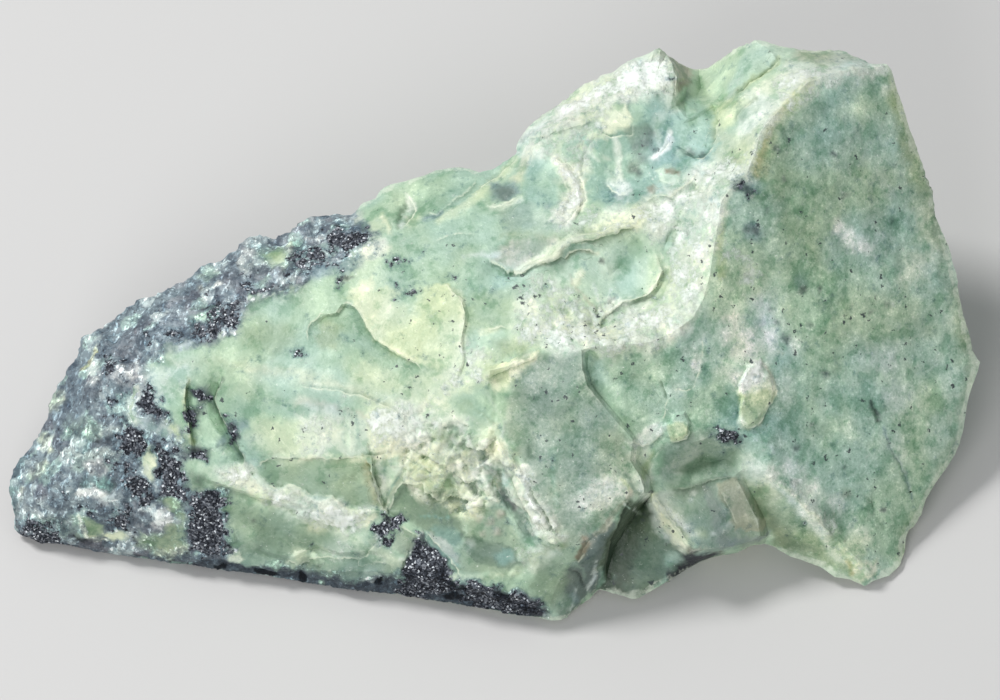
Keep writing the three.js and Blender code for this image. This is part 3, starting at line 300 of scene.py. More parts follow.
  -68 -20 -50 -18 -40 -12 -37 -5 -35 10 -37 25 -34 38 -39 46 -40 54 -48 57 -54 65 -75 64 -105 60 -115 65
  -135 58
cream layer, ivory | ivory 0.5 6 | -145 50 -115 58 -108 35 -115 15 -128 22 -138 38
cream layer, border light | ivory 0.75 3 | line 7 -48 56 -41 50 -39 42 -39 32 -40 10 -42 -5
cream layer, lower light | butter 0.7 2.5 | line 4 -144 44 -136 30 -126 16 -116 5 -98 -2 -84 -8
pocket, olive | olive 0.7 5 | -188 10 -170 32 -155 20 -160 0 -182 -2
wedge border | ivory 0.6 3 | line 3 -18 16 -10 21 0 24
wedge shade | olive_deep 0.85 5 | -5 12 20 12 32 4 25 -6 0 -8
speckled apron | whitish 0.6 6 0.03 | 15 50 60 50 100 25 100 0 60 -2 35 0 15 12 10 32
blade | cream 1 1 0.12 | -16 -24 -10 -17 10 -12 26 -6 37 -2 40 -5 26 -11 15 -16 2 -21 -12 -26
blade, light edge | ivory 0.8 1.5 | line 2 -10 -19 10 -14 26 -8 37 -3
blade root, white crumbs | milk 0.85 8 0.03 | discs -30 -10 8 -24 -22 7 -34 2 5 -45 -28 6 -16 -2 5
  -54 -38 6
blade root, cream | ivory 0.7 6 | -60 -22 -38 -2 -18 -6 -20 -22 -32 -36 -48 -42 -60 -38
dim spots | fern 0.35 9 | discs -95 57 11 15 38 11 0 50 8 40 60 8 -75 110 8
cream layer, bright border | ivory 0.8 3 | line 5 -38 42 -34 24 -37 2
cream layer, cool | sea 0.7 8 | discs -90 50 13
dim spot | fern 0.5 8 | discs -40 100 11
# Left rise between crust and pocket
left rise | green 0.9 8 | -260 15 -245 50 -200 75 -155 88 -155 50 -189 25 -189 5 -170 -5 -130 -16 -90 -22
  -80 -30 -100 -45 -150 -30 -200 -15 -250 -10 -300 -2
grey slope | stone_grey 0.6 8 | -238 88 -200 102 -170 95 -180 70 -205 50 -235 45 -250 40
deep olive | olive_deep 0.6 10 | -255 30 -210 35 -200 5 -230 -8 -255 5
creamy pocket | cream 0.8 4 | -238 88 -225 100 -200 106 -202 94 -225 84
slate band | slate 0.7 3 | -195 78 -175 84 -150 88 -150 76 -175 74 -190 70
lens | ink 0.85 1.5 -0.05 | -163 72 -155 76 -146 75 -154 69
brow | celadon 0.8 6 0.05 | -350 -10 -300 0 -240 -5 -200 -15 -150 -25 -110 -42 -98 -65 -120 -60 -150 -49
  -180 -41 -210 -38 -250 -34 -280 -28 -320 -22 -350 -22
brow, light spine | buff 0.6 5 | line 8 -330 -16 -280 -12 -230 -18 -190 -28 -150 -38 -115 -52
brow, white flecks | milk 0.4 8 | discs -182 -34 5 -200 -12 5 -155 -42 5 -128 -50 5 -250 -26 4
brow, green back | deep 0.6 6 | -325 -8 -270 -8 -240 -22 -280 -20 -315 -16
border glow | linen 0.5 6 | discs -123 124 7
# Front, left of centre
left | deep 0.8 8 | -335 -25 -280 -30 -210 -40 -180 -44 -165 -70 -170 -105 -240 -105 -270 -120 -305 -110
  -320 -90 -332 -60 -350 -40
streak bed | frost 0.6 6 | -200 -50 -155 -54 -128 -60 -124 -100 -155 -104 -195 -102
whitish bed | whitish 0.8 8 | -200 -68 -170 -60 -154 -70 -158 -90 -178 -102 -200 -96
frost flecks | milk 0.42 9 | -200 -70 -170 -62 -152 -74 -154 -92 -178 -102 -208 -98
tan band | tan 0.6 5 | line 9 -200 -50 -165 -52 -128 -64 -104 -70
shade under brow | green 0.85 2.5 -0.06 | -184 -41 -160 -46 -134 -55 -116 -62 -134 -62 -160 -55 -182 -48
dark streaks | green_cool 0.55 2 -0.03 | line 3 -155 -60 -154 -78 -152 -96
dark streak two | teal 0.55 2 -0.03 | line 3 -146 -60 -144 -78 -142 -96
dark streak three | teal 0.5 2 -0.03 | line 2 -160 -54 -158 -75 -156 -90
fringe | linen 0.8 5 0.03 | -134 -56 -104 -48 -76 -52 -70 -75 -76 -90 -100 -90 -128 -100
fringe, heart | milk 0.66 9 0.03 | -132 -58 -100 -50 -74 -56 -76 -80 -102 -86 -128 -96
olive plate | fern 0.95 1.5 | -244 -114 -207 -106 -160 -108 -134 -108 -129 -116 -125 -130 -123 -145
  -116 -161 -144 -160 -155 -157 -164 -152 -166 -147 -188 -144 -200 -138 -208 -134 -224 -137 -238 -134
  -244 -128 -250 -122
olive plate, yellow rim | khaki 0.75 4 | line 9 -136 -112 -129 -130 -123 -156
olive plate, hook | olive 0.9 1.5 -0.08 | line 3 -137 -104 -122 -106 -108 -100
olive plate, right crack | ochre 0.8 1.2 -0.08 | line 2.5 -134 -110 -127 -124 -123 -142 -116 -160
olive plate, shades | olive_deep 0.45 7 | discs -150 -140 11 -210 -121 10
spine bed | pale 0.9 4 0.12 | -300 -112 -265 -116 -244 -128 -224 -137 -200 -142 -166 -150 -116 -163
  -120 -172 -138 -192 -160 -188 -185 -178 -210 -164 -244 -152 -270 -140 -295 -130
spine, white head | milk 0.85 9 0.06 | -278 -120 -260 -116 -248 -124 -252 -138 -268 -134
spine, cream head | ivory 0.9 2 0.1 | -278 -124 -262 -113 -252 -118 -250 -128 -256 -136 -268 -132
spine, white plates | milk 0.82 9 0.06 | -232 -140 -220 -136 -202 -142 -204 -156 -220 -156 -238 -148
spine, white run | milk 0.9 9 0.06 | -194 -160 -170 -152 -150 -160 -128 -164 -134 -178 -155 -184 -178 -176
  -194 -170
spine, cream plates | ivory 0.85 1.5 0.12 | -224 -140 -210 -134 -200 -140 -188 -145 -182 -152 -194 -158
  -208 -156 -220 -150
spine, second plate | ivory 0.85 1.5 0.12 | -184 -150 -166 -148 -150 -156 -138 -162 -148 -174 -166 -174
  -180 -164
spine, third plate | butter 0.8 1.5 0.08 | -144 -162 -128 -162 -120 -166 -130 -178 -142 -178
spine, first plate | linen 0.8 1.5 0.08 | -250 -132 -238 -136 -226 -140 -230 -150 -242 -148 -252 -142
spine, green gaps | green 0.6 3 -0.06 | discs -242 -142 5 -198 -150 4 -184 -158 4 -162 -166 4 -150 -172 4
  -214 -150 3
lower front | jade 1 5 | -315 -150 -275 -142 -242 -156 -208 -170 -175 -180 -140 -195 -115 -190 -116 -164
  -102 -180 -108 -210 -150 -225 -260 -212 -274 -206 -274 -160
lower front, shaded heart | shade 0.6 9 | -260 -162 -225 -170 -190 -185 -180 -202 -230 -206 -262 -195
lower front, flecks | milk 0.5 9 0.03 | discs -154 -196 6 -140 -202 7 -126 -199 6 -116 -190 5 -150 -186 6
  -164 -202 5
lower front, curled chip | celadon 0.95 1 0.07 | -216 -216 -212 -208 -204 -202 -194 -200 -184 -203
  -172 -212 -182 -210 -190 -207 -197 -210 -202 -217 -208 -218
lower front, chip two | ivory 0.9 1.5 0.08 | -274 -196 -265 -197 -257 -207 -262 -216 -272 -211
lower front, dusky hem | dusk 0.6 5 | -205 -210 -115 -208 -80 -222 -120 -226 -200 -220
lower front, specks | ink 0.8 1.5 | line 2.5 -250 -168 -243 -171
lower front, left light | celadon 0.6 7 | discs -250 -181 9
glassy glow | linen 0.55 10 | -248 -72 -200 -75 -196 -98 -215 -114 -238 -114 -250 -95
plate top, rim | butter 0.7 3 0.03 | line 7 -200 -108 -178 -105 -160 -107 -136 -107
spine, cream top | ivory 0.6 4 | line 8 -260 -132 -238 -142 -222 -153
moss glow | celadon 0.5 9 | discs -260 -184 13
spine, cream end | ivory 0.7 4 | discs -185 -174 8 -176 -176 7
low glow | linen 0.6 5 | discs -200 -208 6
# V notch and left foot
foot | deep 0.6 5 | -274 -90 -240 -102 -242 -118 -265 -116 -278 -110
apex | sea 0.95 1.5 | -295 -52 -288 -62 -282 -82 -275 -100 -307 -96 -304 -75
rim left | moss 0.9 1.2 | line 4 -313 -28 -313 -50 -310 -70 -306 -92
rim right | dusk 0.8 1.2 | line 4 -276 -28 -282 -40 -288 -52 -282 -66 -272 -80 -260 -102 -253 -120
halo | slate 0.8 4 | discs -268 -80 9 -257 -75 6 -278 -90 6
blue shade | steel 0.8 4 | discs -298 -42 8 -302 -64 8 -304 -100 8 -314 -104 6
dark depth | night 0.8 3 | discs -303 -41 6 -297 -49 6 -303 -65 7 -302 -100 6 -293 -102 5 -270 -78 5
  -264 -88 5
shard | sea 0.8 2 0.03 | -279 -90 -272 -105 -278 -110 -282 -100
dark bed | dusk 0.6 6 | line 8 -302 -74 -296 -60 -286 -50
# Centre
brow, glow | linen 0.55 10 | -150 -16 -100 -20 -48 -22 -28 -34 -44 -70 -70 -78 -85 -50 -150 -38
brow, cream band | butter 0.7 8 | -88 -62 -60 -50 -38 -34 -42 -60 -64 -74 -82 -78
centre | butter 0.95 6 | -128 -90 -85 -75 -55 -72 -10 -76 5 -96 0 -130 -20 -150 -45 -162 -68 -158 -95 -136
  -112 -150 -122 -140
green lumps | moss 0.85 3 | -78 -88 -64 -84 -50 -86 -48 -102 -54 -116 -70 -120 -80 -106
khaki dip | khaki 0.9 3 -0.1 | -98 -96 -80 -94 -74 -116 -88 -124 -98 -114
khaki spots | khaki 0.9 3 | discs -92 -108 5 -82 -120 4 -70 -155 4
dusky dip | dusk 0.55 3 -0.15 | -60 -82 -44 -84 -34 -96 -38 -106 -48 -102 -56 -96
cream column | butter 0.95 3 0.15 | -42 -78 -16 -80 -10 -96 -12 -120 -18 -142 -24 -164 -34 -166 -42 -150
  -40 -128 -42 -105
white crumbs | milk 0.7 8 0.06 | discs -32 -90 6 -24 -105 6 -30 -135 5 -32 -155 6 -38 -148 4 -60 -78 5
  -75 -75 5 -90 -78 6 -104 -88 6
olive lump | olive 0.95 1.5 0.25 | -78 -128 -70 -119 -56 -118 -50 -130 -48 -142 -57 -151 -72 -148
small lump | moss 0.85 2 0.15 | -100 -120 -88 -124 -84 -134 -96 -134
dark bits | ink 0.7 2 -0.1 | line 4 -86 -134 -76 -139
khaki wash | khaki 0.9 6 | -96 -92 -60 -90 -52 -112 -76 -124 -92 -120
more dark bits | ink 0.95 2 -0.08 | discs -28 -147 2 -19 -91 2 -18 -113 2 -62 -150 2 -32 -161 3 -48 -116 3
  -95 -61 2
fan bed | stone_grey 0.85 3 | -124 -112 -102 -104 -82 -128 -100 -150 -114 -162 -122 -145
fan, pale blades | pale 0.95 1.5 0.08 | -122 -112 -104 -105 -98 -120 -106 -130 -116 -150 -121 -130
fan, fern blade | fern 0.9 1.5 0.06 | -128 -110 -120 -110 -118 -128 -120 -146 -124 -130
fan, dark blade | sea_deep 0.8 1.5 -0.06 | line 3 -116 -154 -108 -138 -100 -124
fan, dark blade two | sea_deep 0.6 1.5 -0.05 | line 2 -120 -148 -116 -132 -114 -118
fan, jade blade | jade 0.8 1.5 0.06 | line 3 -114 -158 -104 -144 -92 -126
dark facet | shade 0.95 2 | -114 -162 -102 -140 -94 -132 -78 -136 -60 -152 -44 -162 -36 -182 -44 -196
  -64 -190 -80 -180 -96 -170
dark facet, upper edge | shade 0.7 2 | line 5 -108 -156 -96 -136 -80 -136
dark facet, right end | shade 0.7 3 | -56 -162 -42 -162 -36 -176 -48 -182 -58 -172
dark facet, small grains | sea_deep 0.8 1.5 0.03 | discs -80 -167 2 -75 -166 2 -70 -165 2 -64 -165 2
  -58 -167 2 -52 -166 2
dark facet, low end | sea_deep 0.7 3 | -68 -178 -44 -178 -40 -194 -54 -198
grey facet | stone_grey 0.9 2 0.08 | -102 -176 -80 -188 -85 -199 -100 -203 -108 -195
dark triangle | ink 1 2 -0.1 | -79 -182 -60 -198 -50 -215 -42 -235 -70 -239 -102 -238 -98 -212
dark triangle, blue head | graphite 0.8 3 | discs -76 -192 6 -66 -200 6
dark triangle, foot | night 1 4 | -104 -242 -98 -222 -80 -216 -60 -218 -42 -236 -40 -244
dark triangle, teal shards | teal 0.85 1.5 0.08 | -78 -182 -72 -182 -60 -193 -48 -206 -38 -216 -45 -216
  -58 -206 -70 -194
dark triangle, white line | frost 0.8 1.5 0.05 | line 2.5 -102 -210 -94 -206 -86 -194 -80 -184
dark cluster | ink 0.9 2 -0.1 | -116 -165 -102 -167 -101 -175 -109 -181 -118 -191 -124 -188 -117 -177
ash ridge | ash 0.9 1.5 0.1 | -70 -182 -54 -190 -44 -202 -38 -212 -44 -212 -54 -202 -66 -192
fan, white mass | white 0.6 3 0.04 | -124 -128 -116 -124 -110 -140 -114 -162 -120 -162
centre top, cream | butter 0.8 4 | discs -42 -70 7 -30 -82 7 -22 -96 6 -70 -62 8 -85 -68 8
lower front, light band | linen 0.5 7 | line 12 -148 -190 -128 -206 -100 -215 -70 -216
front, light band | linen 0.3 12 | line 14 -260 -38 -200 -52
# The right of the centre: gutter, splinters, steep face
glassy slope | green 0.8 6 | -45 -35 20 -25 35 -50 20 -90 0 -95 -30 -80 -50 -60
glassy slope, cream root | cream 0.8 6 | -38 -2 -10 0 0 -22 -12 -35 -38 -42 -50 -25
glassy slope, fern line | fern 0.7 2 0.03 | line 3 -30 -52 -15 -65 0 -82
glassy slope, line two | frost 0.6 2 0.03 | line 2.5 -16 -42 -3 -60 8 -75
glassy slope, line three | frost 0.7 2 0.03 | line 3 13 -48 10 -65 6 -82 0 -92
glassy slope, leaf green | leaf 0.55 6 | -30 -30 0 -28 12 -50 5 -75 -10 -65 -25 -50
glassy slope, deep | fern 0.6 6 | -42 -45 -30 -50 -15 -75 -25 -78 -40 -62
glassy slope, lumps | butter 0.9 2.5 0.12 | -10 -92 2 -88 8 -98 6 -110 -2 -118 -10 -108
gutter | dusk 0.85 3 -0.2 | line 12 -14 -112 -6 -124 6 -142 18 -162 30 -180
gutter, shade | ink 0.95 3 | line 6 -8 -120 4 -138 16 -158
gutter blade | butter 0.95 1.2 0.15 | -19 -132 -10 -130 -2 -140 3 -153 -4 -151 -14 -142
splinters | butter 1 2.5 0.12 | 8 -108 22 -116 35 -138 50 -162 62 -188 52 -195 40 -180 26 -160 12 -136
splinters, white | milk 0.9 8 0.05 | 16 -116 26 -124 40 -148 52 -170 56 -186 40 -174 26 -152 16 -132
splinters, cracks | sea_deep 0.8 1 -0.12 | line 2 14 -118 24 -138 38 -164
splinters, crack two | sea_deep 0.8 1 -0.12 | line 2 25 -130 37 -152 50 -177
splinters, bright edge | white 0.9 4 0.05 | line 11 26 -122 40 -144 52 -166 60 -186
lower slope | olive_deep 0.7 5 | -30 -155 0 -155 20 -185 30 -200 20 -225 -20 -230 -45 -222 -38 -195
  -32 -175
lower slope, crumbs | tan 0.8 2.5 0.15 | discs -22 -165 4 -10 -170 5 0 -162 4 -2 -180 4 -16 -182 3
lower slope, shaded facet | shade 0.95 1.5 -0.03 | -38 -186 -30 -184 -18 -187 0 -193 16 -202 20 -212
  8 -218 -10 -216 -24 -212 -32 -202
lower slope, deep sea green | sea_deep 0.9 3 | -10 -202 8 -200 12 -210 -2 -214
lower slope, cream strip | ivory 0.85 2 0.06 | line 6 -50 -225 -25 -228 0 -225
lower slope, crumbs two | pale 0.8 2.5 0.06 | discs 20 -206 5 32 -200 5 45 -195 5 10 -222 4 0 -230 5
  -12 -224 4 35 -212 4
lower slope, powder | milk 0.45 8 0.03 | 10 -198 45 -188 56 -195 40 -206 15 -216
lower slope, hem | deep 0.7 5 | -45 -222 0 -222 30 -230 45 -246 0 -240 -38 -234
lower slope, moss crest | olive 0.95 3 | line 5 30 -208 48 -202 65 -195
lower slope, olive end | olive 0.5 9 | 40 -195 75 -190 96 -202 90 -225 60 -240 45 -225
lower slope, bright strip | whitish 0.7 5 | line 8 34 -216 56 -204
lower slope, dark bit | dusk 0.6 5 | discs 25 -207 8
steep face | stone_grey 0.9 5 | 20 -5 82 -2 90 -35 110 -58 135 -90 148 -120 150 -142 125 -147 105 -170
  90 -188 70 -195 56 -190 45 -165 25 -130 12 -100 5 -70 10 -35
steep face, dusk | dusk 0.75 6 | 20 -10 75 -6 80 -50 60 -70 30 -70 15 -50
steep face, frost flecks | milk 0.2 10 | 22 -18 50 -8 75 -10 75 -35 50 -50 28 -50
steep face, blotch | shade 0.95 3 | 22 -90 32 -90 34 -106 24 -108
steep face, top shade | jade 0.55 12 | 45 -14 85 -10 104 -45 90 -58 58 -50
steep face, hollow | hollow 0.5 8 | 60 -70 100 -75 120 -105 100 -120 70 -120 55 -100
steep face, crack | sea 0.75 1.5 | line 2 52 -108 53 -120 54 -135 58 -155
steep face, white patch | white 0.85 1.2 0.03 | 77 -140 90 -139 98 -133 109 -126 117 -124 121 -130
  122 -142 116 -150 109 -157 100 -163 93 -163 85 -159 78 -157
steep face, patch powder | milk 0.75 8 | 82 -142 100 -132 116 -126 122 -134 112 -154 98 -162 86 -158
steep face, white glow | whitish 0.5 6 | 66 -150 80 -134 115 -118 132 -132 120 -158 90 -168 72 -162
steep face, olive strip | moss 0.7 1.5 | line 4 122 -129 131 -139
blade, cream edge | butter 0.9 3 0.06 | -12 -38 -10 -30 2 -22 20 -14 38 -4 34 -14 16 -26 4 -40 -6 -44
over the blade, shade | olive 0.45 8 | -20 -2 5 5 30 15 45 8 28 -4 5 -14 -16 -20
steep face, shade under the blade | stone_grey 0.75 8 | 20 -35 40 -20 60 -12 80 -22 88 -42 65 -38 40 -38
nose, slate end | graphite 0.9 2.5 | 114 -170 106 -198 100 -218 96 -240 86 -250 74 -262 66 -268 58 -268
  62 -250 62 -225 70 -216 80 -210 90 -195 100 -180 108 -170
nose, graphite band | graphite 0.6 3 | 112 -174 106 -198 100 -216 94 -240 90 -235 94 -210 102 -188
nose, pale streak | frost 0.7 1.2 | line 2.5 97 -211 96 -222 92 -232 89 -242
nose, streak two | frost 0.7 1.2 | line 2.5 77 -238 74 -250 70 -260
nose, rim | hollow 0.7 1.5 0.03 | line 3 68 -213 78 -216 84 -220 87 -228
nose, curve | ink 0.6 1 -0.04 | line 2.5 66 -219 72 -220 77 -222 82 -227 85 -232 87 -240
nose, brown edge | brown 0.95 2 | 83 -186 89 -188 92 -195 86 -205 78 -212 74 -210 80 -198
nose, tan crest | tan 0.8 1.5 0.03 | line 4 132 -139 118 -157 106 -173 96 -186
nose, shaded face | shade 0.8 5 | 40 -210 66 -212 66 -240 60 -262 45 -254 30 -240
nose, foot light | celadon 0.5 7 | discs 62 -254 9
nose, upper tan | tan 0.5 4 | discs 90 -191 6
nose, slate foot | slate 0.6 4 | discs 75 -250 5
steep face, patch foot | whitish 0.8 4 | line 9 84 -171 98 -163 112 -151
sea facet, light | frost 0.35 4 | discs -30 -195 6
sea facet, dim | dusk 0.6 4 | discs -10 -201 7
# Notch to the right of the nose
under facet | bottle 0.95 3 | 128 -147 150 -150 188 -190 192 -200 165 -226 145 -248 130 -250 100 -240
  108 -185
under facet, dark | bottle 0.9 9 | 130 -143 146 -148 150 -170 138 -195 118 -212 104 -234 99 -240 103 -210
  108 -185 118 -162
under facet, jade | jade 0.45 8 | 152 -170 172 -185 188 -198 168 -222 150 -240 132 -228 142 -198
under facet, dusk | dusk 0.5 3 | discs 142 -232 4 136 -240 4 112 -226 3 125 -238 3
under facet, scratch | frost 0.8 1 | line 1.6 125 -153 132 -157 140 -163
under facet, splinter | dusk 0.8 1.2 0.03 | line 3 126 -124 134 -136 141 -147
under facet, specks | ink 0.9 0.8 | discs 144 -148 2 145 -165 2 143 -171 2 136 -173 1 151 -140 2
  141 -188 1 149 -188 1 156 -222 1 156 -228 1 168 -220 1 136 -168 1 160 -206 1
under facet, foot | shade 0.6 5 | discs 140 -238 8 132 -245 6 168 -212 5
under facet, border | ivory 0.9 3 0.02 | 150 -142 158 -142 164 -158 172 -172 186 -184 194 -196 186 -202
  172 -190 160 -174 152 -162
under facet, ridge | fern 0.8 2 0.03 | line 5 164 -162 176 -178 190 -196
under facet, slate end | night 1 3 | 166 -226 173 -212 190 -203 225 -203 200 -216 168 -236
under facet, brown top | brown 0.5 1.5 | line 3 188 -203 204 -199 222 -203
under facet, bright border | frost 0.75 4 | line 8 141 -124 147 -148 156 -171 165 -187
under facet, slate light | celadon 0.7 6 | discs 172 -210 9
block | hollow 0.95 3 | 155 -145 180 -140 205 -132 245 -128 268 -180 260 -195 215 -202 192 -195 170 -168
block, pewter band | pewter 0.75 3 | 202 -136 212 -136 222 -160 234 -196 222 -202 216 -180 208 -158
block, glass | frost 0.7 2 0.02 | discs 164 -160 3 168 -164 4 173 -168 4 178 -172 4 183 -176 3 215 -182 2
  194 -142 3 190 -148 2
block, frost | milk 0.6 8 0.02 | 160 -154 168 -158 184 -174 190 -184 184 -184 168 -172 160 -162
block, ash streak | ash 0.6 2 | line 3 216 -136 230 -162 242 -192
block, drab cap | drab 0.95 1.2 0.08 | 215 -134 236 -128 244 -138 256 -150 264 -170 262 -178 252 -180
  248 -182 242 -178 236 -182 234 -174 226 -158 218 -146
block, misty foot | mist 0.6 2.5 0.02 | line 6 232 -196 250 -190 264 -186
block, dim | bottle 0.55 7 | line 10 176 -142 205 -136
block, left light | frost 0.55 5 | discs 164 -150 8 230 -174 5
block, green foot | moss 0.35 5 | discs 200 -181 7
hollow | hollow 0.95 4 | 160 -95 190 -85 220 -78 245 -90 240 -120 245 -128 200 -132 170 -140 160 -125
hollow, left wall | whitish 0.9 4 | 125 -90 150 -95 150 -130 132 -130
hollow cluster | ink 1 2 -0.05 | 218 -80 230 -82 240 -88 236 -93 222 -91
hollow, moss | moss 0.7 2.5 | line 6 153 -102 147 -114 144 -125
hollow, dim | dusk 0.8 8 | line 12 238 -88 242 -110
hollow, floor | ash 0.7 7 | discs 190 -109 12 171 -119 8
cool plane | green_cool 0.85 6 | 84 -8 140 -2 190 -5 200 -25 235 -35 245 -50 238 -80 220 -78 190 -80
  160 -78 140 -88 125 -80 100 -50
cool plane, dim | jade 0.45 10 | discs 140 -30 14 112 -20 9 150 -60 10
cool plane, deep end | sea_deep 0.7 5 | 225 -35 242 -45 240 -75 220 -75 212 -55
cool plane, frost | whitish 0.55 6 | discs 200 10 6 199 -10 6 194 -30 6 180 -40 6 190 0 6
cool plane, white spot | white 0.9 2 0.04 | discs 195 -16 5 197 -21 4 201 -14 3
scab | ivory 1 1.5 0.12 | 238 -40 242 -26 248 -12 257 -8 266 -16 274 -28 277 -44 268 -60 258 -74 250 -79
  243 -78 237 -68 240 -55
scab, white head | white 0.9 3 0.04 | 228 -28 242 -20 252 -8 264 -16 268 -26 256 -34 244 -44 238 -40
  232 -34
scab, powder | milk 0.75 8 | 232 -28 246 -16 256 -12 266 -20 268 -32 252 -38 240 -40
scab, moss belly | moss 0.9 3 | 240 -44 256 -42 270 -36 276 -44 268 -58 257 -72 248 -78 241 -66
crumb | cream 1 1.5 0.15 | 167 -76 175 -71 184 -72 188 -80 184 -90 172 -90
crumb, white | frost 0.85 2.5 0.06 | 130 -88 145 -80 155 -74 168 -74 164 -84 155 -90 146 -96 134 -96
crumb, veins | milk 0.55 8 0.03 | line 6 128 -90 142 -88 158 -80
below the crumb | green_cool 0.7 6 | discs 140 -68 8
# Lower right corner
olive flank | olive 0.75 6 | 245 -132 265 -130 290 -150 315 -175 340 -210 350 -222 320 -220 280 -195
  262 -178
deep flank | bottle 0.45 7 | 255 -150 290 -180 315 -205 290 -202 265 -182
ridge | whitish 0.75 5 0.1 | line 13 252 -112 275 -130 295 -150 318 -175 338 -202 362 -222
ridge line | ivory 0.8 2.5 0.08 | line 5 266 -124 284 -136 300 -152 320 -174 340 -196 354 -210
powder | milk 0.42 9 | 245 -120 275 -118 312 -130 350 -195 368 -220 350 -216 315 -172 285 -142 258 -132
frost | white 0.6 6 | discs 275 -122 10 300 -122 10 312 -136 8 290 -112 8
dimple | jade 0.95 6 -0.1 | 318 -155 335 -158 350 -175 348 -192 335 -192 322 -175
second ridge | whitish 0.7 6 | line 12 330 -150 350 -165 368 -190
cream tip | butter 0.95 2.5 0.15 | 346 -214 358 -210 376 -214 374 -226 362 -234 352 -228
ochre | ochre 0.7 2 | line 5 348 -212 352 -224
thread | frost 0.7 2 0.02 | line 2 255 -88 268 -94 273 -102
tip light | linen 0.55 8 | discs 352 -195 12 266 -136 8
fern nick | fern 0.5 5 | discs 346 -148 6 332 -175 7
below the hollow | jade 0.8 6 | discs 241 -109 9
first light | linen 0.5 6 | discs 251 -130 9 272 -150 6
low fern | fern 0.5 6 | discs 342 -222 8
# Left foot and crust rim
mauve | mauve 0.7 8 | -282 88 -264 94 -256 78 -232 88 -200 82 -180 82 -204 66 -238 56 -262 52 -260 36
  -278 28 -286 50 -278 64 -284 76
mauve top | mauve 0.7 6 | -178 124 -155 128 -140 116 -150 100 -174 94 -182 110
mauve crest | rose 0.35 5 | line 9 -232 110 -216 110 -202 118 -188 124
mauve rim | mauve 0.6 8 | -380 20 -340 38 -300 42 -300 26 -350 10 -382 -2
mauve left | mauve 0.5 8 | -400 -2 -360 6 -360 -12 -390 -20 -412 -70 -416 -42
mauve west | mauve 0.6 6 | line 10 -442 -75 -442 -90 -438 -100
steel rim | steel 0.6 8 | line 16 -178 132 -198 114 -238 100 -264 88 -292 68 -320 50
steel | steel 0.85 7 | -440 -16 -414 -10 -412 -40 -418 -65 -436 -60 -442 -35
steel two | steel 0.9 6 | line 12 -454 -68 -436 -68 -430 -78
steel foot | steel 0.8 8 | -472 -128 -442 -116 -434 -136 -440 -162 -468 -168 -476 -148
night band | night 0.8 4 | discs -402 -96 7 -394 -94 7 -390 -132 8 -400 -136 7 -416 -134 6 -458 -176 8
  -408 -98 4
teal glass | sea_deep 0.6 5 | discs -416 -94 9 -400 -130 11 -412 -134 6 -242 100 9 -200 104 8 -188 98 6
  -310 26 7
fern bed | fern 0.55 6 | -436 -74 -416 -68 -396 -74 -388 -84 -412 -90 -430 -88
fern foot | fern 0.5 6 | -458 -168 -424 -162 -416 -184 -430 -195 -452 -190
night shade | night 0.9 3 | line 9 -428 -186 -412 -191 -396 -193
dark foot | night 0.85 4 | line 12 -480 -186 -456 -191 -430 -194
rim teal | sea_deep 0.5 5 | line 12 -478 -112 -488 -140 -486 -175
rim lumps | buff 0.8 3 0.05 | discs -443 -48 8 -446 -56 6 -456 -88 7 -454 -98 6 -460 -116 7 -467 -124 6
rim frost | frost 0.7 3 0.03 | discs -476 -123 5 -485 -132 4 -470 -112 4 -450 -32 6 -438 -16 5 -410 10 6
rim tan | tan 0.6 2 | line 4 -478 -138 -480 -152 -484 -162
glass | white 0.8 3 0.04 | -414 -12 -404 -10 -398 -22 -399 -34 -408 -36 -414 -26
pale speckle | rose 0.6 4 | -388 -16 -360 -14 -358 -28 -376 -34 -388 -30
ice | frost 0.75 5 0.03 | -370 -62 -350 -60 -332 -74 -320 -82 -318 -96 -340 -90 -354 -84 -366 -74
ice's cream | cream 0.8 2.5 | line 6 -332 -74 -326 -80 -322 -88
ice's sea | sea_deep 0.5 3 | discs -348 -76 6 -340 -84 5 -354 -86 4
band | whitish 0.9 2.5 0.04 | line 9 -361 -36 -366 -50 -370 -64 -364 -74
wedge | linen 0.95 2.5 0.06 | -352 -96 -344 -105 -342 -118 -348 -134 -357 -126 -359 -114 -353 -105
vein two | whitish 0.85 2.5 0.03 | line 7 -398 -84 -386 -80 -376 -76
vein three | whitish 0.85 2.5 0.03 | line 6 -434 -101 -416 -105 -400 -103 -376 -104
below the vein | celadon 0.6 4 | -434 -104 -400 -106 -380 -108 -388 -120 -408 -122 -426 -120
pink sparkle | rose 0.75 3 0.03 | discs -408 -116 7 -400 -120 6 -400 -112 5
vein four | white 0.9 2 0.03 | line 8 -420 -141 -408 -141 -397 -144
glass low | frost 0.85 3 0.04 | -398 -148 -390 -142 -378 -144 -380 -156 -392 -162
crystals | white 0.95 2.5 0.05 | -344 -162 -338 -156 -328 -162 -327 -178 -340 -180 -346 -174
crystals two | frost 0.9 2.5 0.04 | -359 -158 -350 -150 -342 -156 -348 -164 -356 -176 -361 -170
crystals' blue | steel 0.8 2.5 | line 4 -357 -164 -350 -165 -344 -168
low green | fern 0.9 4 | -342 -146 -330 -140 -318 -152 -314 -170 -314 -204 -340 -206 -366 -196 -368 -184
  -356 -180 -336 -184 -322 -174 -328 -156
low cream | buff 0.6 3 | line 8 -342 -201 -328 -202 -318 -200
crescent | fern 0.9 2.5 | -420 -164 -408 -166 -398 -174 -394 -184 -404 -187 -414 -180
crescent's rim | ivory 0.95 1.5 0.06 | line 4 -421 -164 -419 -176 -412 -185 -402 -190 -392 -190
low strip | linen 1 2 0.05 | -396 -184 -384 -180 -370 -182 -373 -189 -388 -192
foot threads | frost 0.7 1.5 0.02 | line 3 -472 -182 -464 -175 -454 -184 -448 -174 -440 -186 -434 -192
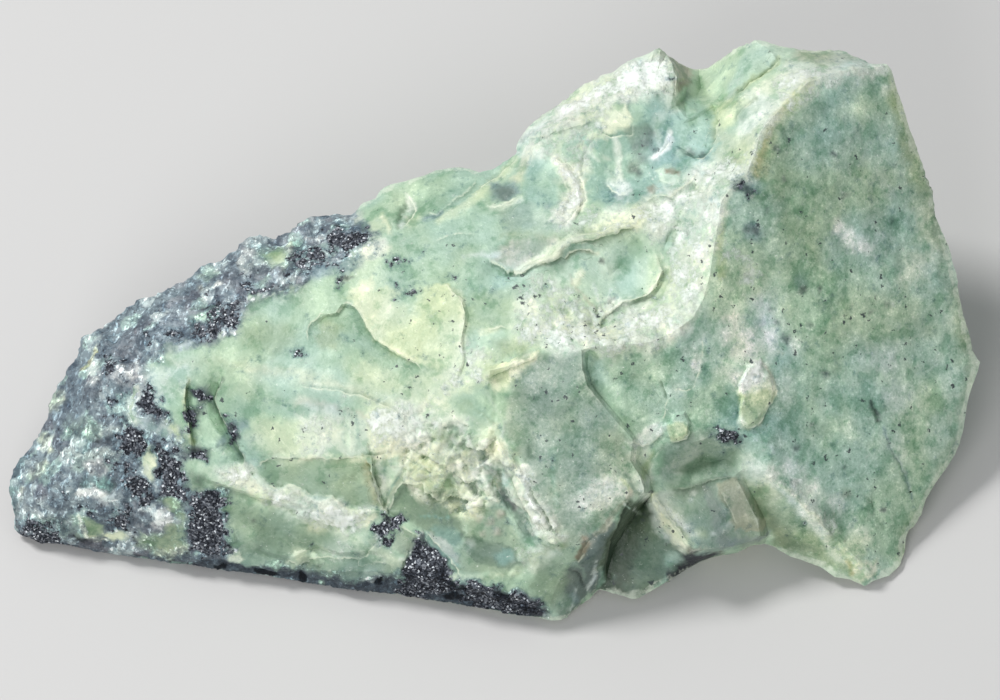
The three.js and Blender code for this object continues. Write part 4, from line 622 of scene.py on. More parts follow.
foot frost | frost 0.8 2.5 | discs -438 -162 4 -440 -190 5 -428 -191 4 -372 -186 4 -450 -158 3 -432 -170 3
upper frost | frost 0.75 4 0.03 | discs -288 84 6 -278 88 6 -246 110 7 -236 112 6 -184 130 6 -182 118 5
  -144 132 6 -154 135 4
upper ice | white 1 3.5 0.03 | -264 90 -254 100 -242 102 -244 92 -252 84 -262 84
upper ice two | celadon 0.7 3 | -304 74 -286 84 -278 74 -292 66
green lens | celadon 0.9 4 | -244 96 -236 103 -216 103 -209 94 -212 82 -224 83 -236 88
lens's moss | moss 0.8 3.5 | -234 96 -216 101 -212 90 -224 87
lens's buff | buff 0.9 2 0.03 | line 7 -211 106 -209 97
upper whites | white 0.9 2 0.04 | discs -190 112 3 -175 96 3 -167 108 2 -164 88 4 -172 85 3 -182 88 2
  -252 74 4 -256 78 3 -281 64 4 -292 53 5 -275 25 4 -278 16 4 -288 14 3 -266 20 4
upper lilac | lilac 0.6 4 | discs -272 54 7 -250 66 7 -200 120 6 -224 74 6 -304 46 5
rose shard | rose 0.9 1.5 0.05 | -204 73 -196 78 -188 79 -194 72 -202 69
blue shade | slate 0.7 3.5 | line 10 -194 78 -174 82 -150 84 -140 88
blue shade top | slate 0.7 4 | line 9 -158 128 -148 122 -134 126
white line | white 0.9 1.5 0.04 | line 4 -262 45 -252 50 -242 52 -232 57
small lens | celadon 0.9 2 0.04 | -306 33 -298 39 -286 40 -288 34 -292 28 -303 27
lens's shade | night 0.8 2 | line 4 -308 41 -294 44 -280 41 -264 34
low shard | lilac 0.7 2 0.03 | line 4 -304 14 -310 6 -320 0
ochre | ochre 0.9 1.5 | line 4 -403 0 -410 -10 -417 -18
rust | brown 0.8 1.5 | discs -300 62 3 -294 59 2
bright bank | frost 0.6 8 | -362 -48 -352 -30 -334 -14 -312 -20 -316 -40 -336 -46 -352 -62
bright west | frost 0.5 8 | discs -396 -54 11 -388 -80 7 -440 -135 9 -382 -166 7 -365 -172 9 -418 -154 9
bright rim | lilac 0.6 8 | discs -330 20 12 -325 45 9 -268 32 8
bright lens | whitish 0.6 6 0.03 | discs -250 84 9 -326 -105 8
bright crack | frost 0.6 4 0.03 | line 7 -354 -120 -355 -150
bright top | rose 0.4 5 | discs -185 105 7 -468 -165 9
dark nicks | night 0.6 6 | discs -339 -67 8 -434 -102 8 -295 56 7 -140 105 6 -145 105 5 -303 -130 6
white edge | white 0.6 4 | line 10 -354 -34 -359 -54
dark gap | night 0.8 4 | discs -340 -63 8
toe light | frost 0.6 6 | -482 -148 -456 -146 -454 -170 -476 -174
# Masks, each named by its place
crust | crust 1 12 | -128 114 -128 104 -145 92 -170 84 -188 82 -200 70 -215 63 -230 58 -245 50 -260 40
  -265 30 -260 15 -295 10 -320 5 -335 -2 -355 -30 -340 -50 -328 -72 -320 -90 -320 -140 -272 -142 -272 -210
  -260 -225 -500 -210 -510 -130 -470 -70 -430 20 -350 80 -270 130 -200 150 -160 145
notch grains | magnetite 1 8 | -310 -34 -302 -35 -294 -44 -293 -53 -300 -50 -304 -42 -310 -40
notch grains, low | magnetite 1 8 | -310 -58 -302 -54 -295 -62 -300 -73 -307 -77 -311 -68
notch dark right | magnetite 1 8 | -277 -72 -271 -69 -265 -81 -260 -90 -268 -91 -274 -82
notch dark foot | magnetite 1 8 | -312 -96 -290 -97 -290 -106 -312 -108
upper tail | magnetite 0.85 12 | -176 122 -164 125 -155 115 -142 119 -129 116 -126 108 -132 101 -148 101
  -160 92 -172 96 -178 106 -173 114
upper mid | magnetite 0.85 12 | -208 92 -200 99 -182 99 -168 94 -150 101 -143 94 -156 87 -174 83 -192 79
  -204 83
upper low | magnetite 0.8 12 | -260 72 -242 64 -222 66 -204 76 -202 66 -224 58 -242 52 -256 53
upper strip | magnetite 0.75 14 | -288 50 -262 52 -258 35 -264 18 -286 10 -314 10 -314 22 -290 28 -294 38
rim strip | magnetite 0.5 12 | -362 8 -340 18 -310 23 -310 10 -328 1 -350 -6
rim left | magnetite 0.6 17 | -396 -2 -374 -2 -376 -26 -394 -26
west | magnetite 0.35 16 | -416 -36 -392 -34 -364 -38 -366 -60 -382 -72 -402 -70 -414 -54
small | magnetite 1 9 | -358 -42 -350 -37 -341 -46 -336 -56 -328 -60 -328 -73 -336 -70 -342 -64 -352 -62
  -358 -54
centre | magnetite 1 12 | -374 -71 -364 -73 -359 -84 -352 -94 -351 -107 -359 -115 -372 -110 -382 -100
  -383 -90 -376 -82
spine | magnetite 1 12 | -340 -90 -321 -87 -323 -97 -331 -102 -319 -112 -316 -130 -318 -146 -334 -146
  -346 -136 -341 -118 -345 -100
foot west | magnetite 0.75 12 | -386 -112 -360 -112 -348 -126 -343 -140 -350 -152 -362 -154 -374 -146
  -383 -130
foot | magnetite 1 13 | -310 -146 -296 -139 -283 -141 -271 -149 -271 -166 -275 -180 -271 -200 -286 -210
  -306 -210 -317 -200 -310 -185 -315 -165
low | magnetite 0.7 12 | -378 -148 -359 -150 -361 -164 -359 -177 -376 -182 -394 -182 -395 -170 -384 -160
low west | magnetite 0.5 11 | -430 -151 -404 -149 -395 -162 -401 -172 -416 -165 -427 -163
purple | magnetite 0.4 17 | -448 -120 -418 -120 -418 -148 -444 -148
toe | magnetite 0.9 12 | -478 -175 -438 -175 -440 -196 -474 -195
upper tail's tip | magnetite 0.9 8 | -162 73 -154 74 -148 71 -156 69
west rim | magnetite 0.3 12 | -448 -72 -440 -72 -434 -90 -438 -100 -448 -90
lens a | magnetite 0.7 11 | -118 88 -104 93 -88 90 -90 83 -108 81
lens b | magnetite 1 11 | -108 58 -98 63 -88 60 -90 52 -104 52
lens c | magnetite 0.8 6 | discs -125 92 3 -77 99 2 -200 -2 5 -45 74 4 -37 69 3
bare, green lens | bare 0.75 5 | -242 98 -230 102 -216 103 -210 94 -214 83 -226 84 -236 89
bare, ice | bare 0.6 7 | -366 -64 -350 -62 -336 -74 -322 -82 -322 -92 -340 -90 -354 -82
bare, band and wedge | bare 0.6 4 | line 6 -361 -36 -366 -50 -370 -64 -358 -74
bare, wedge | bare 0.9 4 | -351 -97 -343 -106 -342 -118 -348 -132 -356 -126 -358 -114 -352 -106
bare, low green | bare 0.65 7 | -340 -148 -330 -142 -320 -154 -316 -170 -316 -202 -338 -204 -364 -196
  -364 -184 -340 -184 -326 -174
bare, crescent | bare 0.85 4 | -418 -166 -408 -167 -398 -174 -392 -184 -396 -189 -408 -188 -414 -180
bare, low strip | bare 0.85 3 | -395 -184 -382 -181 -371 -183 -374 -189 -388 -191
hem band | crust 1 8 | -495 -195 -440 -193 -320 -205 -260 -212 -200 -217 -155 -223 -100 -226 -45 -231
  -20 -234 0 -236 20 -242 38 -250 52 -266 0 -290 -500 -250
hem band, black grains | magnetite 1 11 | -35 -236 0 -240 35 -254 35 -272 -30 -265
dark triangle grains | magnetite 1 7 | -106 -244 -100 -220 -90 -200 -80 -184 -70 -194 -56 -208 -44 -226
  -40 -242
dark cluster grains | magnetite 1 11 | -116 -165 -102 -167 -101 -175 -109 -181 -118 -191 -124 -188
  -117 -177
hollow cluster grains | magnetite 1 11 | 218 -80 230 -81 240 -88 236 -93 222 -91
ridge grains | magnetite 0.8 11 | 233 168 240 168 248 154 242 152
flank | chalk 1 8 | 218 160 220 135 216 100 206 75 202 50 190 25 172 10 150 -2 100 -4 40 0 15 15 20 45
  60 55 100 50 150 38 168 50 160 88 172 110 140 145 200 185 242 185
shoulder | chalk 0.8 6 | 15 202 60 250 120 282 160 300 176 284 176 254 120 246 100 216 75 145 83 160
  70 190 30 190
centre | chalk 0.5 8 | -130 -50 -70 -48 -40 -70 -5 -80 5 -120 -20 -150 -60 -155 -100 -130 -122 -120
spine | chalk 0.7 6 | -278 -120 -250 -118 -238 -134 -202 -140 -155 -155 -116 -163 -138 -190 -180 -178
  -242 -153 -278 -137
splinters | chalk 0.8 5 | 5 -92 30 -120 62 -190 45 -195 10 -145 -2 -105
scab | chalk 0.6 4 | 228 -28 248 -8 266 -16 274 -30 252 -40 238 -38
wide | pepper 0.2 20 | 200 200 260 210 400 250 460 50 450 -70 360 -210 260 -110 120 -130 60 -70 60 -10
  190 5 190 100
clusters | pepper 0.9 6 | discs 145 210 9 152 200 7 140 192 5 3 158 7 155 250 5 270 215 7 262 180 6
  282 12 7 268 32 8 290 28 6 256 121 8 345 155 5 306 58 8 390 46 5 297 -130 7 346 -148 7 257 0 6 324 -24 7
  193 -58 7 276 42 6 181 -62 5 255 -140 4 336 -158 4 320 -104 5 240 50 5 212 115 5 400 154 4 362 192 5
chalk | pepper 0.6 10 | 20 75 100 60 140 20 100 -2 30 5 5 40
level | pepper 0.3 12 | -125 100 0 100 0 -40 -100 -45 -120 20
front | pepper 0.18 12 | -280 -30 -120 -50 -120 -150 -200 -130 -270 -120
fringe | pepper 0.7 8 | discs -95 -60 8 -82 -75 6 -30 -15 8 -38 -2 6 -10 5 6 -60 -45 6 140 100 6 190 170 8
  235 180 8 140 160 8 155 185 8
block | pepper 0.5 8 | 130 -150 160 -150 180 -180 150 -240 110 -240
corner | pepper 0.25 10 | 250 -130 300 -150 350 -210 400 -220 380 -130 300 -110
centre | pepper 0.8 10 | 60 -120 125 -120 115 -162 75 -162
crumbs | crumbs 1 4 | -98 -86 -70 -76 -38 -76 -10 -84 0 -105 2 -140 -18 -162 -38 -168 -54 -156 -76 -150
  -92 -138 -100 -115
crumbs, two | crumbs 0.35 5 | -105 -62 -80 -55 -60 -75 -70 -86 -96 -84
splinters | splinters 1 5 | -20 -112 0 -86 20 -100 40 -135 62 -175 62 -195 45 -198 15 -180 -8 -150
streaks | streaks 1 8 | -260 -50 -200 -48 -155 -52 -125 -60 -115 -100 -170 -105 -250 -108
streaks, two | streaks 0.7 8 | -45 -45 10 -35 25 -70 5 -95 -40 -80
fan | fan 1 4 | -130 -102 -102 -102 -95 -130 -102 -162 -116 -164 -124 -145
steep | pepper 0.3 12 | 30 -10 80 -10 100 -50 140 -100 140 -140 90 -190 50 -170 20 -90
# Crust, tones laid over it
hem band, dark | night 1 4 | -495 -197 -440 -196 -320 -207 -260 -214 -200 -219 -155 -226 -100 -228
  -45 -233 -20 -236 0 -237 20 -244 40 -251 52 -266 0 -290 -500 -250
hem band, glint | lilac 0.15 3 | line 4 -440 -206 -380 -212 -320 -218 -240 -230
hem band, darkest | night 1 5 | -380 -210 -250 -220 -170 -228 -100 -233 -30 -242 40 -256 40 -275 -100 -260
  -380 -230
mottled, right face | mottled 1 15 | 215 150 240 180 270 230 320 270 400 290 460 150 485 0 440 -150
  380 -240 300 -210 240 -80 190 -90 140 -90 90 -10 200 10
mottled, steep face | mottled 1 15 | 20 -5 82 -2 100 -50 140 -100 140 -150 90 -190 50 -180 10 -90
"""

# Steps where one layer ends over the next: name, drop in millimetres on the right of the line as
# it runs, how far the drop takes to come back, how light its lip and how dark its foot are, and
# the points of the line. The lip is bruised pale; the dark foot under a layer's end is painted
# shade, and along a crack or hairline it is the line's own dark. A crack has a drop of its own
# depth and no light lip.
STEPS = """
pocket border | 0.1 40 0.8 0.35 | -191 6 -192 20 -189 28 -182 30 -178 36 -167 35 -162 37 -159 43 -154 47
  -147 44 -141 34 -134 25 -127 15 -119 5 -110 -1 -98 -6 -88 -10 -82 -15 -77 -24
cream layer border | 0.08 20 0.9 0.2 | -44 -34 -41 -22 -37 -12 -36 0 -37 12 -34 24 -36 32 -34 39 -39 47
  -38 52 -44 55 -48 58 -54 64 -62 65
level top, wisp | 0.04 20 0.7 0.25 | -70 106 -54 114 -38 117 -20 114
lip border | 0.34 35 0.85 0.85 | -14 90 0 83 7 79 12 80 20 77 26 78 32 83 38 84 43 88 50 87 56 91 61 94
  63 100 70 103 76 108 84 110 92 109 100 112 108 112 118 115 122 119 130 121 138 124
second arc | 0.16 20 0.9 0.7 | 58 84 64 90 70 96 78 99 88 99 96 96 102 90
recess, right crest | 0.3 35 0.9 0.6 | 96 16 101 28 106 34 114 39 120 46 130 49 140 53 148 56 155 62
  159 69 162 78 158 88 155 100
wedge border | 0.09 20 0.8 0.3 | -20 14 -10 21 2 24 12 20
blade border | 0.3 22 0.95 0.7 | -14 -29 -6 -25 2 -23 9 -19 16 -18 24 -13 32 -11 40 -4
olive plate, top | 0.1 26 0.7 0.3 | -246 -120 -238 -114 -228 -109 -216 -107 -207 -106 -194 -109 -178 -107
  -160 -108 -148 -106 -134 -107
olive plate, hook | 0.1 14 0.3 0.8 | -108 -99 -116 -104 -124 -105 -136 -103 -135 -108
olive plate, right crack | 0.14 10 0.3 0.9 | -135 -106 -129 -117 -126 -126 -123 -138 -121 -150 -116 -161
spine's upper edge | 0.12 16 0.7 0.25 | -116 -162 -128 -161 -142 -160 -155 -156 -163 -150 -166 -146
  -178 -144 -188 -143 -196 -139 -202 -137 -208 -134 -218 -136 -224 -136 -232 -134 -238 -134
lower chips | 0.14 14 0.9 0.5 | -217 -216 -212 -211 -207 -213 -202 -219 -195 -213 -188 -212 -182 -216
  -170 -213
lower chip, upper edge | 0.05 10 0.8 0.3 | -174 -212 -184 -204 -194 -201 -204 -202 -212 -207
olive hem's edge | 0.06 20 0.6 0.3 | -200 -210 -170 -207 -140 -210 -112 -215 -98 -220
lobe groove | 0.1 14 0.8 0.5 | -111 132 -107 122 -108 114
lobe rib | 0.12 16 0.9 0.4 | -98 160 -90 151 -86 142 -88 134 -94 126 -100 120
lobe ridge | 0.12 30 0.9 0.1 | 20 194 5 183 -5 174 -14 166 -28 158 -38 150 -50 141 -60 133 -72 126
lobe facet | 0.08 20 0.5 0.4 | -80 137 -64 136 -54 144 -38 157 -26 166 -16 174
blue hollow's foot | 0.1 12 0.9 0.4 | -16 144 -8 143 2 144 12 150 20 156
chalk arc, outer | 0.14 18 0.7 0.5 | 53 195 62 192 70 187 77 178 81 170 84 160 85 150 80 142 72 136 66 128
  56 123
bowl, inner rim | 0.06 14 0.5 0.3 | 53 128 58 136 66 144 70 154 66 168 60 178
level crack | 0.05 12 0.2 0.5 | 104 216 92 211 86 200 82 184 83 168
basin, small bowl | 0.12 20 0.9 0.25 | 216 246 218 234 218 220 215 208 208 198 202 192 194 193 186 199
facet step | 0.13 14 0.9 0.45 | 133 230 132 216 120 214 110 213 100 218 97 228
lens step | 0.08 10 0.8 0.4 | 156 182 160 172 168 167 180 169
crest fold | 0.12 22 0.4 0.8 | 282 293 275 288 268 282 260 274 252 270 244 262 236 255
crest plane foot | 0.06 16 0.8 0.3 | 257 254 248 247 242 242 238 236 235 224
shoulder end | 0.14 12 0.7 0.6 | 172 288 176 276 177 266 176 254 168 252
shoulder's foot | 0.1 16 0.6 0.3 | 24 209 36 213 48 217 60 219 72 223 86 228 98 234
basin rim's jagged edge | 0.14 16 0.8 0.4 | 140 154 148 150 155 154 164 156 172 154 180 160 190 166
  200 178
white blob | 0.1 8 0.8 0.5 | 108 174 106 166 110 160 118 154 126 156 132 162
white vein | 0.1 8 0.6 0.5 | 172 218 164 202 156 190
notch left | 0.12 16 0.3 0.6 | -305 -96 -308 -82 -310 -68 -313 -52 -314 -38 -312 -27
notch right | 0.16 20 0.5 0.7 | -276 -28 -281 -38 -287 -50 -283 -62 -278 -72 -271 -82 -264 -92 -258 -105
  -254 -120
dark facet's head | 0.08 15 0.8 0.3 | -114 -164 -108 -156 -104 -142 -98 -134 -83 -132 -74 -138
dark triangle left | 0.2 18 0.3 0.7 | -104 -238 -98 -212 -90 -196 -80 -182
dark triangle right | 0.1 14 0.9 0.4 | -80 -181 -70 -186 -60 -197 -49 -211 -42 -220 -41 -234
grey facet's edge | 0.08 10 0.7 0.4 | -104 -176 -92 -181 -82 -187 -86 -198 -98 -204
white splinter fall | 0.25 16 0.7 0.5 | 60 -192 53 -182 46 -170 40 -158 32 -144 24 -130 16 -116 8 -100
splinter crack | 0.12 6 0.2 0.8 | 14 -118 20 -132 28 -146 36 -160 44 -172
splinter crack two | 0.1 6 0.2 0.8 | 26 -130 34 -144 42 -158 50 -174 54 -186
gutter side | 0.12 10 0.6 0.5 | 0 -102 6 -116 14 -132 22 -148 30 -162 38 -176
moss lump edge | 0.1 8 0.6 0.7 | -78 -126 -74 -138 -66 -148 -56 -152 -48 -144 -48 -132
nose crest | 0.12 16 0.5 0.5 | 132 -141 125 -152 117 -163 104 -177 100 -184 96 -190 86 -202 77 -213
  66 -219
nose end's edge | 0.1 12 0.5 0.2 | 69 -267 77 -258 86 -250 96 -240 99 -219 106 -200 112 -174
nose curve | 0.05 6 0.1 0.9 | 66 -219 72 -220 77 -222 82 -227 85 -232 86 -238 87 -243
nose, brown line | 0.04 8 0.1 0.8 | 107 -170 103 -182 92 -190 84 -198 80 -210
notch shadow line | 0.1 8 0.1 0.9 | 104 -238 108 -212 112 -190 120 -165 130 -146
block top | 0.12 20 0.25 0.5 | 173 -140 184 -139 194 -136 202 -134 218 -129 228 -128 240 -128
block cap border | 0.07 10 0.25 0.4 | 218 -138 224 -150 230 -162 236 -172 242 -181
block ridge | 0.14 18 0.95 0.3 | 190 -196 182 -185 174 -174 166 -162 158 -150 154 -144
hollow's left lip | 0.08 14 0.4 0.3 | 160 -96 155 -106 150 -118 148 -130
crumb edge | 0.16 8 0.9 0.6 | 168 -90 176 -92 186 -90 190 -82 186 -72
white crumbs edge | 0.1 8 0.8 0.4 | 126 -94 134 -90 142 -96 152 -94 160 -86 168 -80
scab's edge | 0.12 10 0.9 0.7 | 241 -70 244 -77 252 -78 260 -71 268 -62 274 -52 277 -41
scab's crack | 0.04 4 0.1 0.7 | 245 -26 252 -23 257 -25 264 -21
right face, needle | 0.05 4 0 0.9 | 158 -24 161 -32 165 -40 167 -48 170 -54
right face, dark streak | 0.05 8 0 0.8 | 372 -52 376 -60 380 -68 384 -78
right face, blue hairline | 0.03 5 0.2 0.6 | 384 -78 392 -96 400 -114 408 -132 414 -150
right face, hairline two | 0.03 5 0.1 0.5 | 362 -140 372 -152 384 -166 400 -182
right face, hairline three | 0.03 5 0.1 0.5 | 366 -155 380 -170 390 -184
right face, dark line | 0.04 6 0 0.6 | 270 -24 276 -32 282 -42
right face, vein | 0.04 6 0.9 0.2 | 201 15 200 2 201 -10 198 -22 194 -36 186 -40 178 -38 168 -41
right face, vein two | 0.03 5 0.8 0.1 | 168 -41 166 -52 163 -64 160 -74
left rise, wisp | 0.04 10 0.8 0.1 | -238 48 -222 58 -206 62 -200 72
brow's lower edge | 0.06 16 0.7 0.3 | -98 -66 -112 -56 -128 -48 -148 -44 -162 -40 -178 -38 -200 -34
lower front, seam | 0.06 12 0.6 0.4 | -115 -190 -128 -196 -134 -206 -150 -210
"""
TENTH = 0.1
END_FADE = 1.2


def rows_of(table):
    """The rows of a table, each a list of the words in its fields."""
    lines = table.strip().replace("\n  ", " ").split("\n")
    return [[field.split() for field in line.split("|")[1:]] for line in lines if line[0] != "#"]


def points_of(words, size=2):
    """The points of a shape in millimetres, of so many numbers each."""
    numbers = [float(word) * TENTH for word in words]
    return [numbers[start:start + size] for start in range(0, len(numbers), size)]


patches = []
for (tone, cover, soft, *rise), words in rows_of(PATCHES):
    kind = words.pop(0) if words[0] in ("discs", "line") else "area"
    if kind == "line":
        kind = float(words.pop(0)) * TENTH
    shape = points_of(words, 3 if kind == "discs" else 2)
    rise = float(rise[0]) if rise else 0
    patches.append((tone, float(cover), float(soft) * TENTH, rise, kind, shape))
steps = []
for (drop, reach, lip, foot), words in rows_of(STEPS):
    steps.append((float(drop), float(reach) * TENTH, float(lip), float(foot), points_of(words)))


def to_segment(a, b, start, end):
    """How far each place (a, b) is from a segment."""
    run = (end[0] - start[0], end[1] - start[1])
    length = run[0] ** 2 + run[1] ** 2 + 1e-9
    along = np.clip(((a - start[0]) * run[0] + (b - start[1]) * run[1]) / length, 0, 1)
    return np.hypot(a - start[0] - along * run[0], b - start[1] - along * run[1])


def depth_inside(kind, shape, a, b):
    """How deep each place (a, b) lies inside a patch, less than zero outside it."""
    if kind == "discs":
        return np.max([radius - np.hypot(a - x, b - y) for x, y, radius in shape], axis=0)
    closed = kind == "area"
    pairs = list(zip(shape, shape[1:] + shape[:1] if closed else shape[1:]))
    nearest = np.min([to_segment(a, b, start, end) for start, end in pairs], axis=0)
    if not closed:
        return kind / 2 - nearest
    within = np.zeros(len(a), bool)
    for (x0, y0), (x1, y1) in pairs:
        if y0 != y1:
            crossed = (y0 > b) != (y1 > b)
            within ^= crossed & (a < x0 + (b - y0) * (x1 - x0) / (y1 - y0))
    return np.where(within, nearest, -nearest)


def ramp(values, low, high):
    """A smooth step from 0 at low to 1 at high."""
    part = np.clip((values - low) / (high - low), 0, 1)
    return part * part * (3 - 2 * part)


def beside(shape, a, b):
    """How far each place is to the right of a line as it runs, and a fade at the line's ends."""
    best = np.full(len(a), 1e9)
    side = np.zeros(len(a))
    spot = np.zeros(len(a))
    done = 0.0
    for start, end in zip(shape, shape[1:]):
        run = np.array(end) - np.array(start)
        length = np.hypot(*run)
        along = np.clip(((a - start[0]) * run[0] + (b - start[1]) * run[1]) / length, 0, length)
        away = np.hypot(a - start[0] - along * run[0] / length, b - start[1] - along * run[1] / length)
        closer = away < best
        right = run[1] * (a - start[0]) - run[0] * (b - start[1])
        best = np.where(closer, away, best)
        side = np.where(closer, np.sign(right), side)
        spot = np.where(closer, done + along, spot)
        done += length
    return best * side, ramp(spot, 0, END_FADE) * ramp(done - spot, 0, END_FADE)


def near(kind, shape, reach, a, b):
    """The places (a, b) close enough to a patch to be changed by it."""
    pad = reach + (0 if kind in ("area", "discs") else kind)
    low = [min(p[i] - (p[2] if kind == "discs" else 0) for p in shape) - pad for i in (0, 1)]
    high = [max(p[i] + (p[2] if kind == "discs" else 0) for p in shape) + pad for i in (0, 1)]
    return np.flatnonzero((a > low[0]) & (a < high[0]) & (b > low[1]) & (b < high[1]))


# The mesh is fine where small things stand: a net of half-millimetre cells over the side says
# how long an edge may be in each, in millimetres.
PLAIN_EDGE = 0.62
BACK_EDGE = 1.4
LINE_EDGE = 0.27
FINE_EDGES = {"crust": 0.44, "chalk": 0.42, "crumbs": 0.27, "splinters": 0.27, "fan": 0.27}
SHARP_BORDER = 0.25  # a raised patch with a border no softer than this has a fine edge
BESIDE_BORDER = 0.35
BESIDE_STEP = 0.5
STEP_WIDTH = 0.1
NET_PAD = 1
CELL = 0.5
NET_LEFT, NET_RIGHT, NET_LOW, NET_HIGH = -52, 52, -32, 36
cells = np.meshgrid(np.arange(NET_LEFT, NET_RIGHT, CELL), np.arange(NET_LOW, NET_HIGH, CELL), indexing="ij")
net_u, net_v = (part.ravel() for part in cells)
longest = np.full(net_u.size, PLAIN_EDGE)
for tone, cover, soft, rise, kind, shape in patches:
    some = near(kind, shape, NET_PAD, net_u, net_v)
    depth = depth_inside(kind, shape, net_u[some], net_v[some])
    if tone in FINE_EDGES:
        longest[some] = np.where(depth > 0, np.minimum(longest[some], FINE_EDGES[tone]), longest[some])
    elif rise and soft <= SHARP_BORDER:
        at_border = np.abs(depth) < BESIDE_BORDER
        longest[some] = np.where(at_border, np.minimum(longest[some], LINE_EDGE), longest[some])
for drop, reach, lip, foot, shape in steps:
    some = near(STEP_WIDTH, shape, NET_PAD, net_u, net_v)
    at_line = np.abs(depth_inside(0, shape, net_u[some], net_v[some])) < BESIDE_STEP
    longest[some] = np.where(at_line, np.minimum(longest[some], LINE_EDGE), longest[some])
longest = longest.reshape(cells[0].shape)

# The solid's long edges are cut in two until the net allows them all.
SHARP_FOLD = math.radians(24)
CUT_ROUNDS = 6
FACING = -0.05  # edges turned further from the side than this are the back's
MERGE_DISTANCE = 1e-6
bm = bmesh.new()
bm.from_mesh(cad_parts["stone"].data)
bmesh.ops.remove_doubles(bm, verts=bm.verts, dist=MERGE_DISTANCE)
bmesh.ops.recalc_face_normals(bm, faces=bm.faces)
for fold in bm.edges:
    fold.smooth = fold.calc_face_angle(0) < SHARP_FOLD
for cut_round in range(CUT_ROUNDS):
    bm.normal_update()
    bm.edges.ensure_lookup_table()
    corners = np.array([vert.co[:] for vert in bm.verts]) * MM - np.array(ZERO)
    pairs = np.array([(line.verts[0].index, line.verts[1].index) for line in bm.edges])
    facing = np.array([max(face.normal.dot(OUT) for face in line.link_faces) for line in bm.edges])
    middles = corners[pairs].mean(axis=1)
    lengths = np.linalg.norm(corners[pairs[:, 0]] - corners[pairs[:, 1]], axis=1)
    row = np.clip((middles @ np.array(ACROSS) - NET_LEFT) / CELL, 0, longest.shape[0] - 1).astype(int)
    column = np.clip((middles @ np.array(UP) - NET_LOW) / CELL, 0, longest.shape[1] - 1).astype(int)
    allowed = np.where(facing > FACING, longest[row, column], BACK_EDGE)
    too_long = np.flatnonzero(lengths > allowed)
    if not len(too_long):
        break
    bmesh.ops.subdivide_edges(bm, edges=[bm.edges[i] for i in too_long], cuts=1)
    bmesh.ops.triangulate(bm, faces=[face for face in bm.faces if len(face.verts) > 3])
    bm.verts.index_update()
    bm.edges.index_update()
stone_mesh = bpy.data.meshes.new("stone_surface")
bm.to_mesh(stone_mesh)
bm.free()

# Its facets are eased, and sharp folds nearly keep their line.
EASE_ROUNDS = 3
EASE_FREE = 0.6
EASE_FOLDED = 0.1
GROUND_REACH = 0.02  # mm
count = len(stone_mesh.vertices)
points = np.empty(count * 3)
stone_mesh.vertices.foreach_get("co", points)
points = points.reshape(-1, 3) * MM
ends = np.empty(len(stone_mesh.edges) * 2, int)
stone_mesh.edges.foreach_get("vertices", ends)
ends = ends.reshape(-1, 2)
folded = np.zeros(len(stone_mesh.edges), bool)
sharp = stone_mesh.attributes.get("sharp_edge")
if sharp:
    sharp.data.foreach_get("value", folded)
on_ground = points[:, 2] < GROUND_REACH
valence = np.bincount(ends.ravel(), minlength=count)
creased = np.bincount(ends[folded].ravel(), minlength=count) > 0
free = np.where(creased, EASE_FOLDED, EASE_FREE)[:, None]


def spread(values):
    """The mean of each point's neighbours."""
    total = np.zeros_like(values)
    np.add.at(total, ends[:, 0], values[ends[:, 1]])
    np.add.at(total, ends[:, 1], values[ends[:, 0]])
    return total / (valence[:, None] if values.ndim == 2 else valence)


def put_points():
    """Writes the points to the mesh and returns their normals."""
    stone_mesh.vertices.foreach_set("co", (points / MM).ravel())
    stone_mesh.update()
    out = np.empty(count * 3)
    stone_mesh.vertices.foreach_get("normal", out)
    return out.reshape(-1, 3)


for ease_round in range(EASE_ROUNDS):
    points += free * (spread(points) - points)
points[on_ground, 2] = 0
normals = put_points()

local = points - np.array(ZERO)
u, v, w = (local @ np.array(way) for way in (ACROSS, UP, OUT))


def wander(size, seed, places=None):
    """Smooth noise of about -1 to 1 with lumps of a size in millimetres."""
    spots = ((points if places is None else places) / size + seed).tolist()
    return np.array([noise.noise(spot) for spot in spots])


def waves(*parts):
    """Smooth noises on one another, each with its height, size and seed."""
    return sum(height * wander(size, seed) for height, size, seed in parts)


HALF = Vector((0.5, 0.5, 0.5))
FLAKE_LEAN = 2  # how steeply a flake leans
FLAKE_STEP = 0.4  # how far flakes stand above one another
FLAKE_DRAW = 5.7  # spreads the flakes' centres, so that each draws its own lot
LUMP_DRAW = 9.1  # and the lumps' centres
LUMP_SIDES = 1.6  # how soon a lump rises from its gap
LUMP_TOP = 0.6  # how round it is


def shards(size, seed, tilt):
    """Small flat flakes, each a plane with a tilt of its own, and a draw for each flake."""
    heights = np.empty(count)
    draws = np.empty(count)
    for i, spot in enumerate((points / size + seed).tolist()):
        centre = noise.voronoi(spot)[1][0]
        lean = noise.cell_vector(centre * FLAKE_DRAW)
        away = Vector(spot) - centre
        heights[i] = (lean - HALF).dot(away) * FLAKE_LEAN + (lean.x + lean.y - 1) * FLAKE_STEP
        draws[i] = lean.z
    return heights * size * tilt, draws


def pebbles(size, seed):
    """Rounded lumps side by side, 0 in the gaps and about 1 on top, and a draw for each lump."""
    heights = np.empty(count)
    draws = np.empty(count)
    for i, spot in enumerate((points / size + seed).tolist()):
        gaps, centres = noise.voronoi(spot)
        heights[i] = gaps[1] - gaps[0]
        draws[i] = noise.cell(centres[0] * LUMP_DRAW)
    return np.minimum(heights * LUMP_SIDES, 1) ** LUMP_TOP, draws


def blend(amount, tone):
    """Paints a tone over the tint by an amount at each point."""
    tint[:] += np.clip(amount, 0, 1)[:, None] * (np.array(TONES[tone]) - tint)


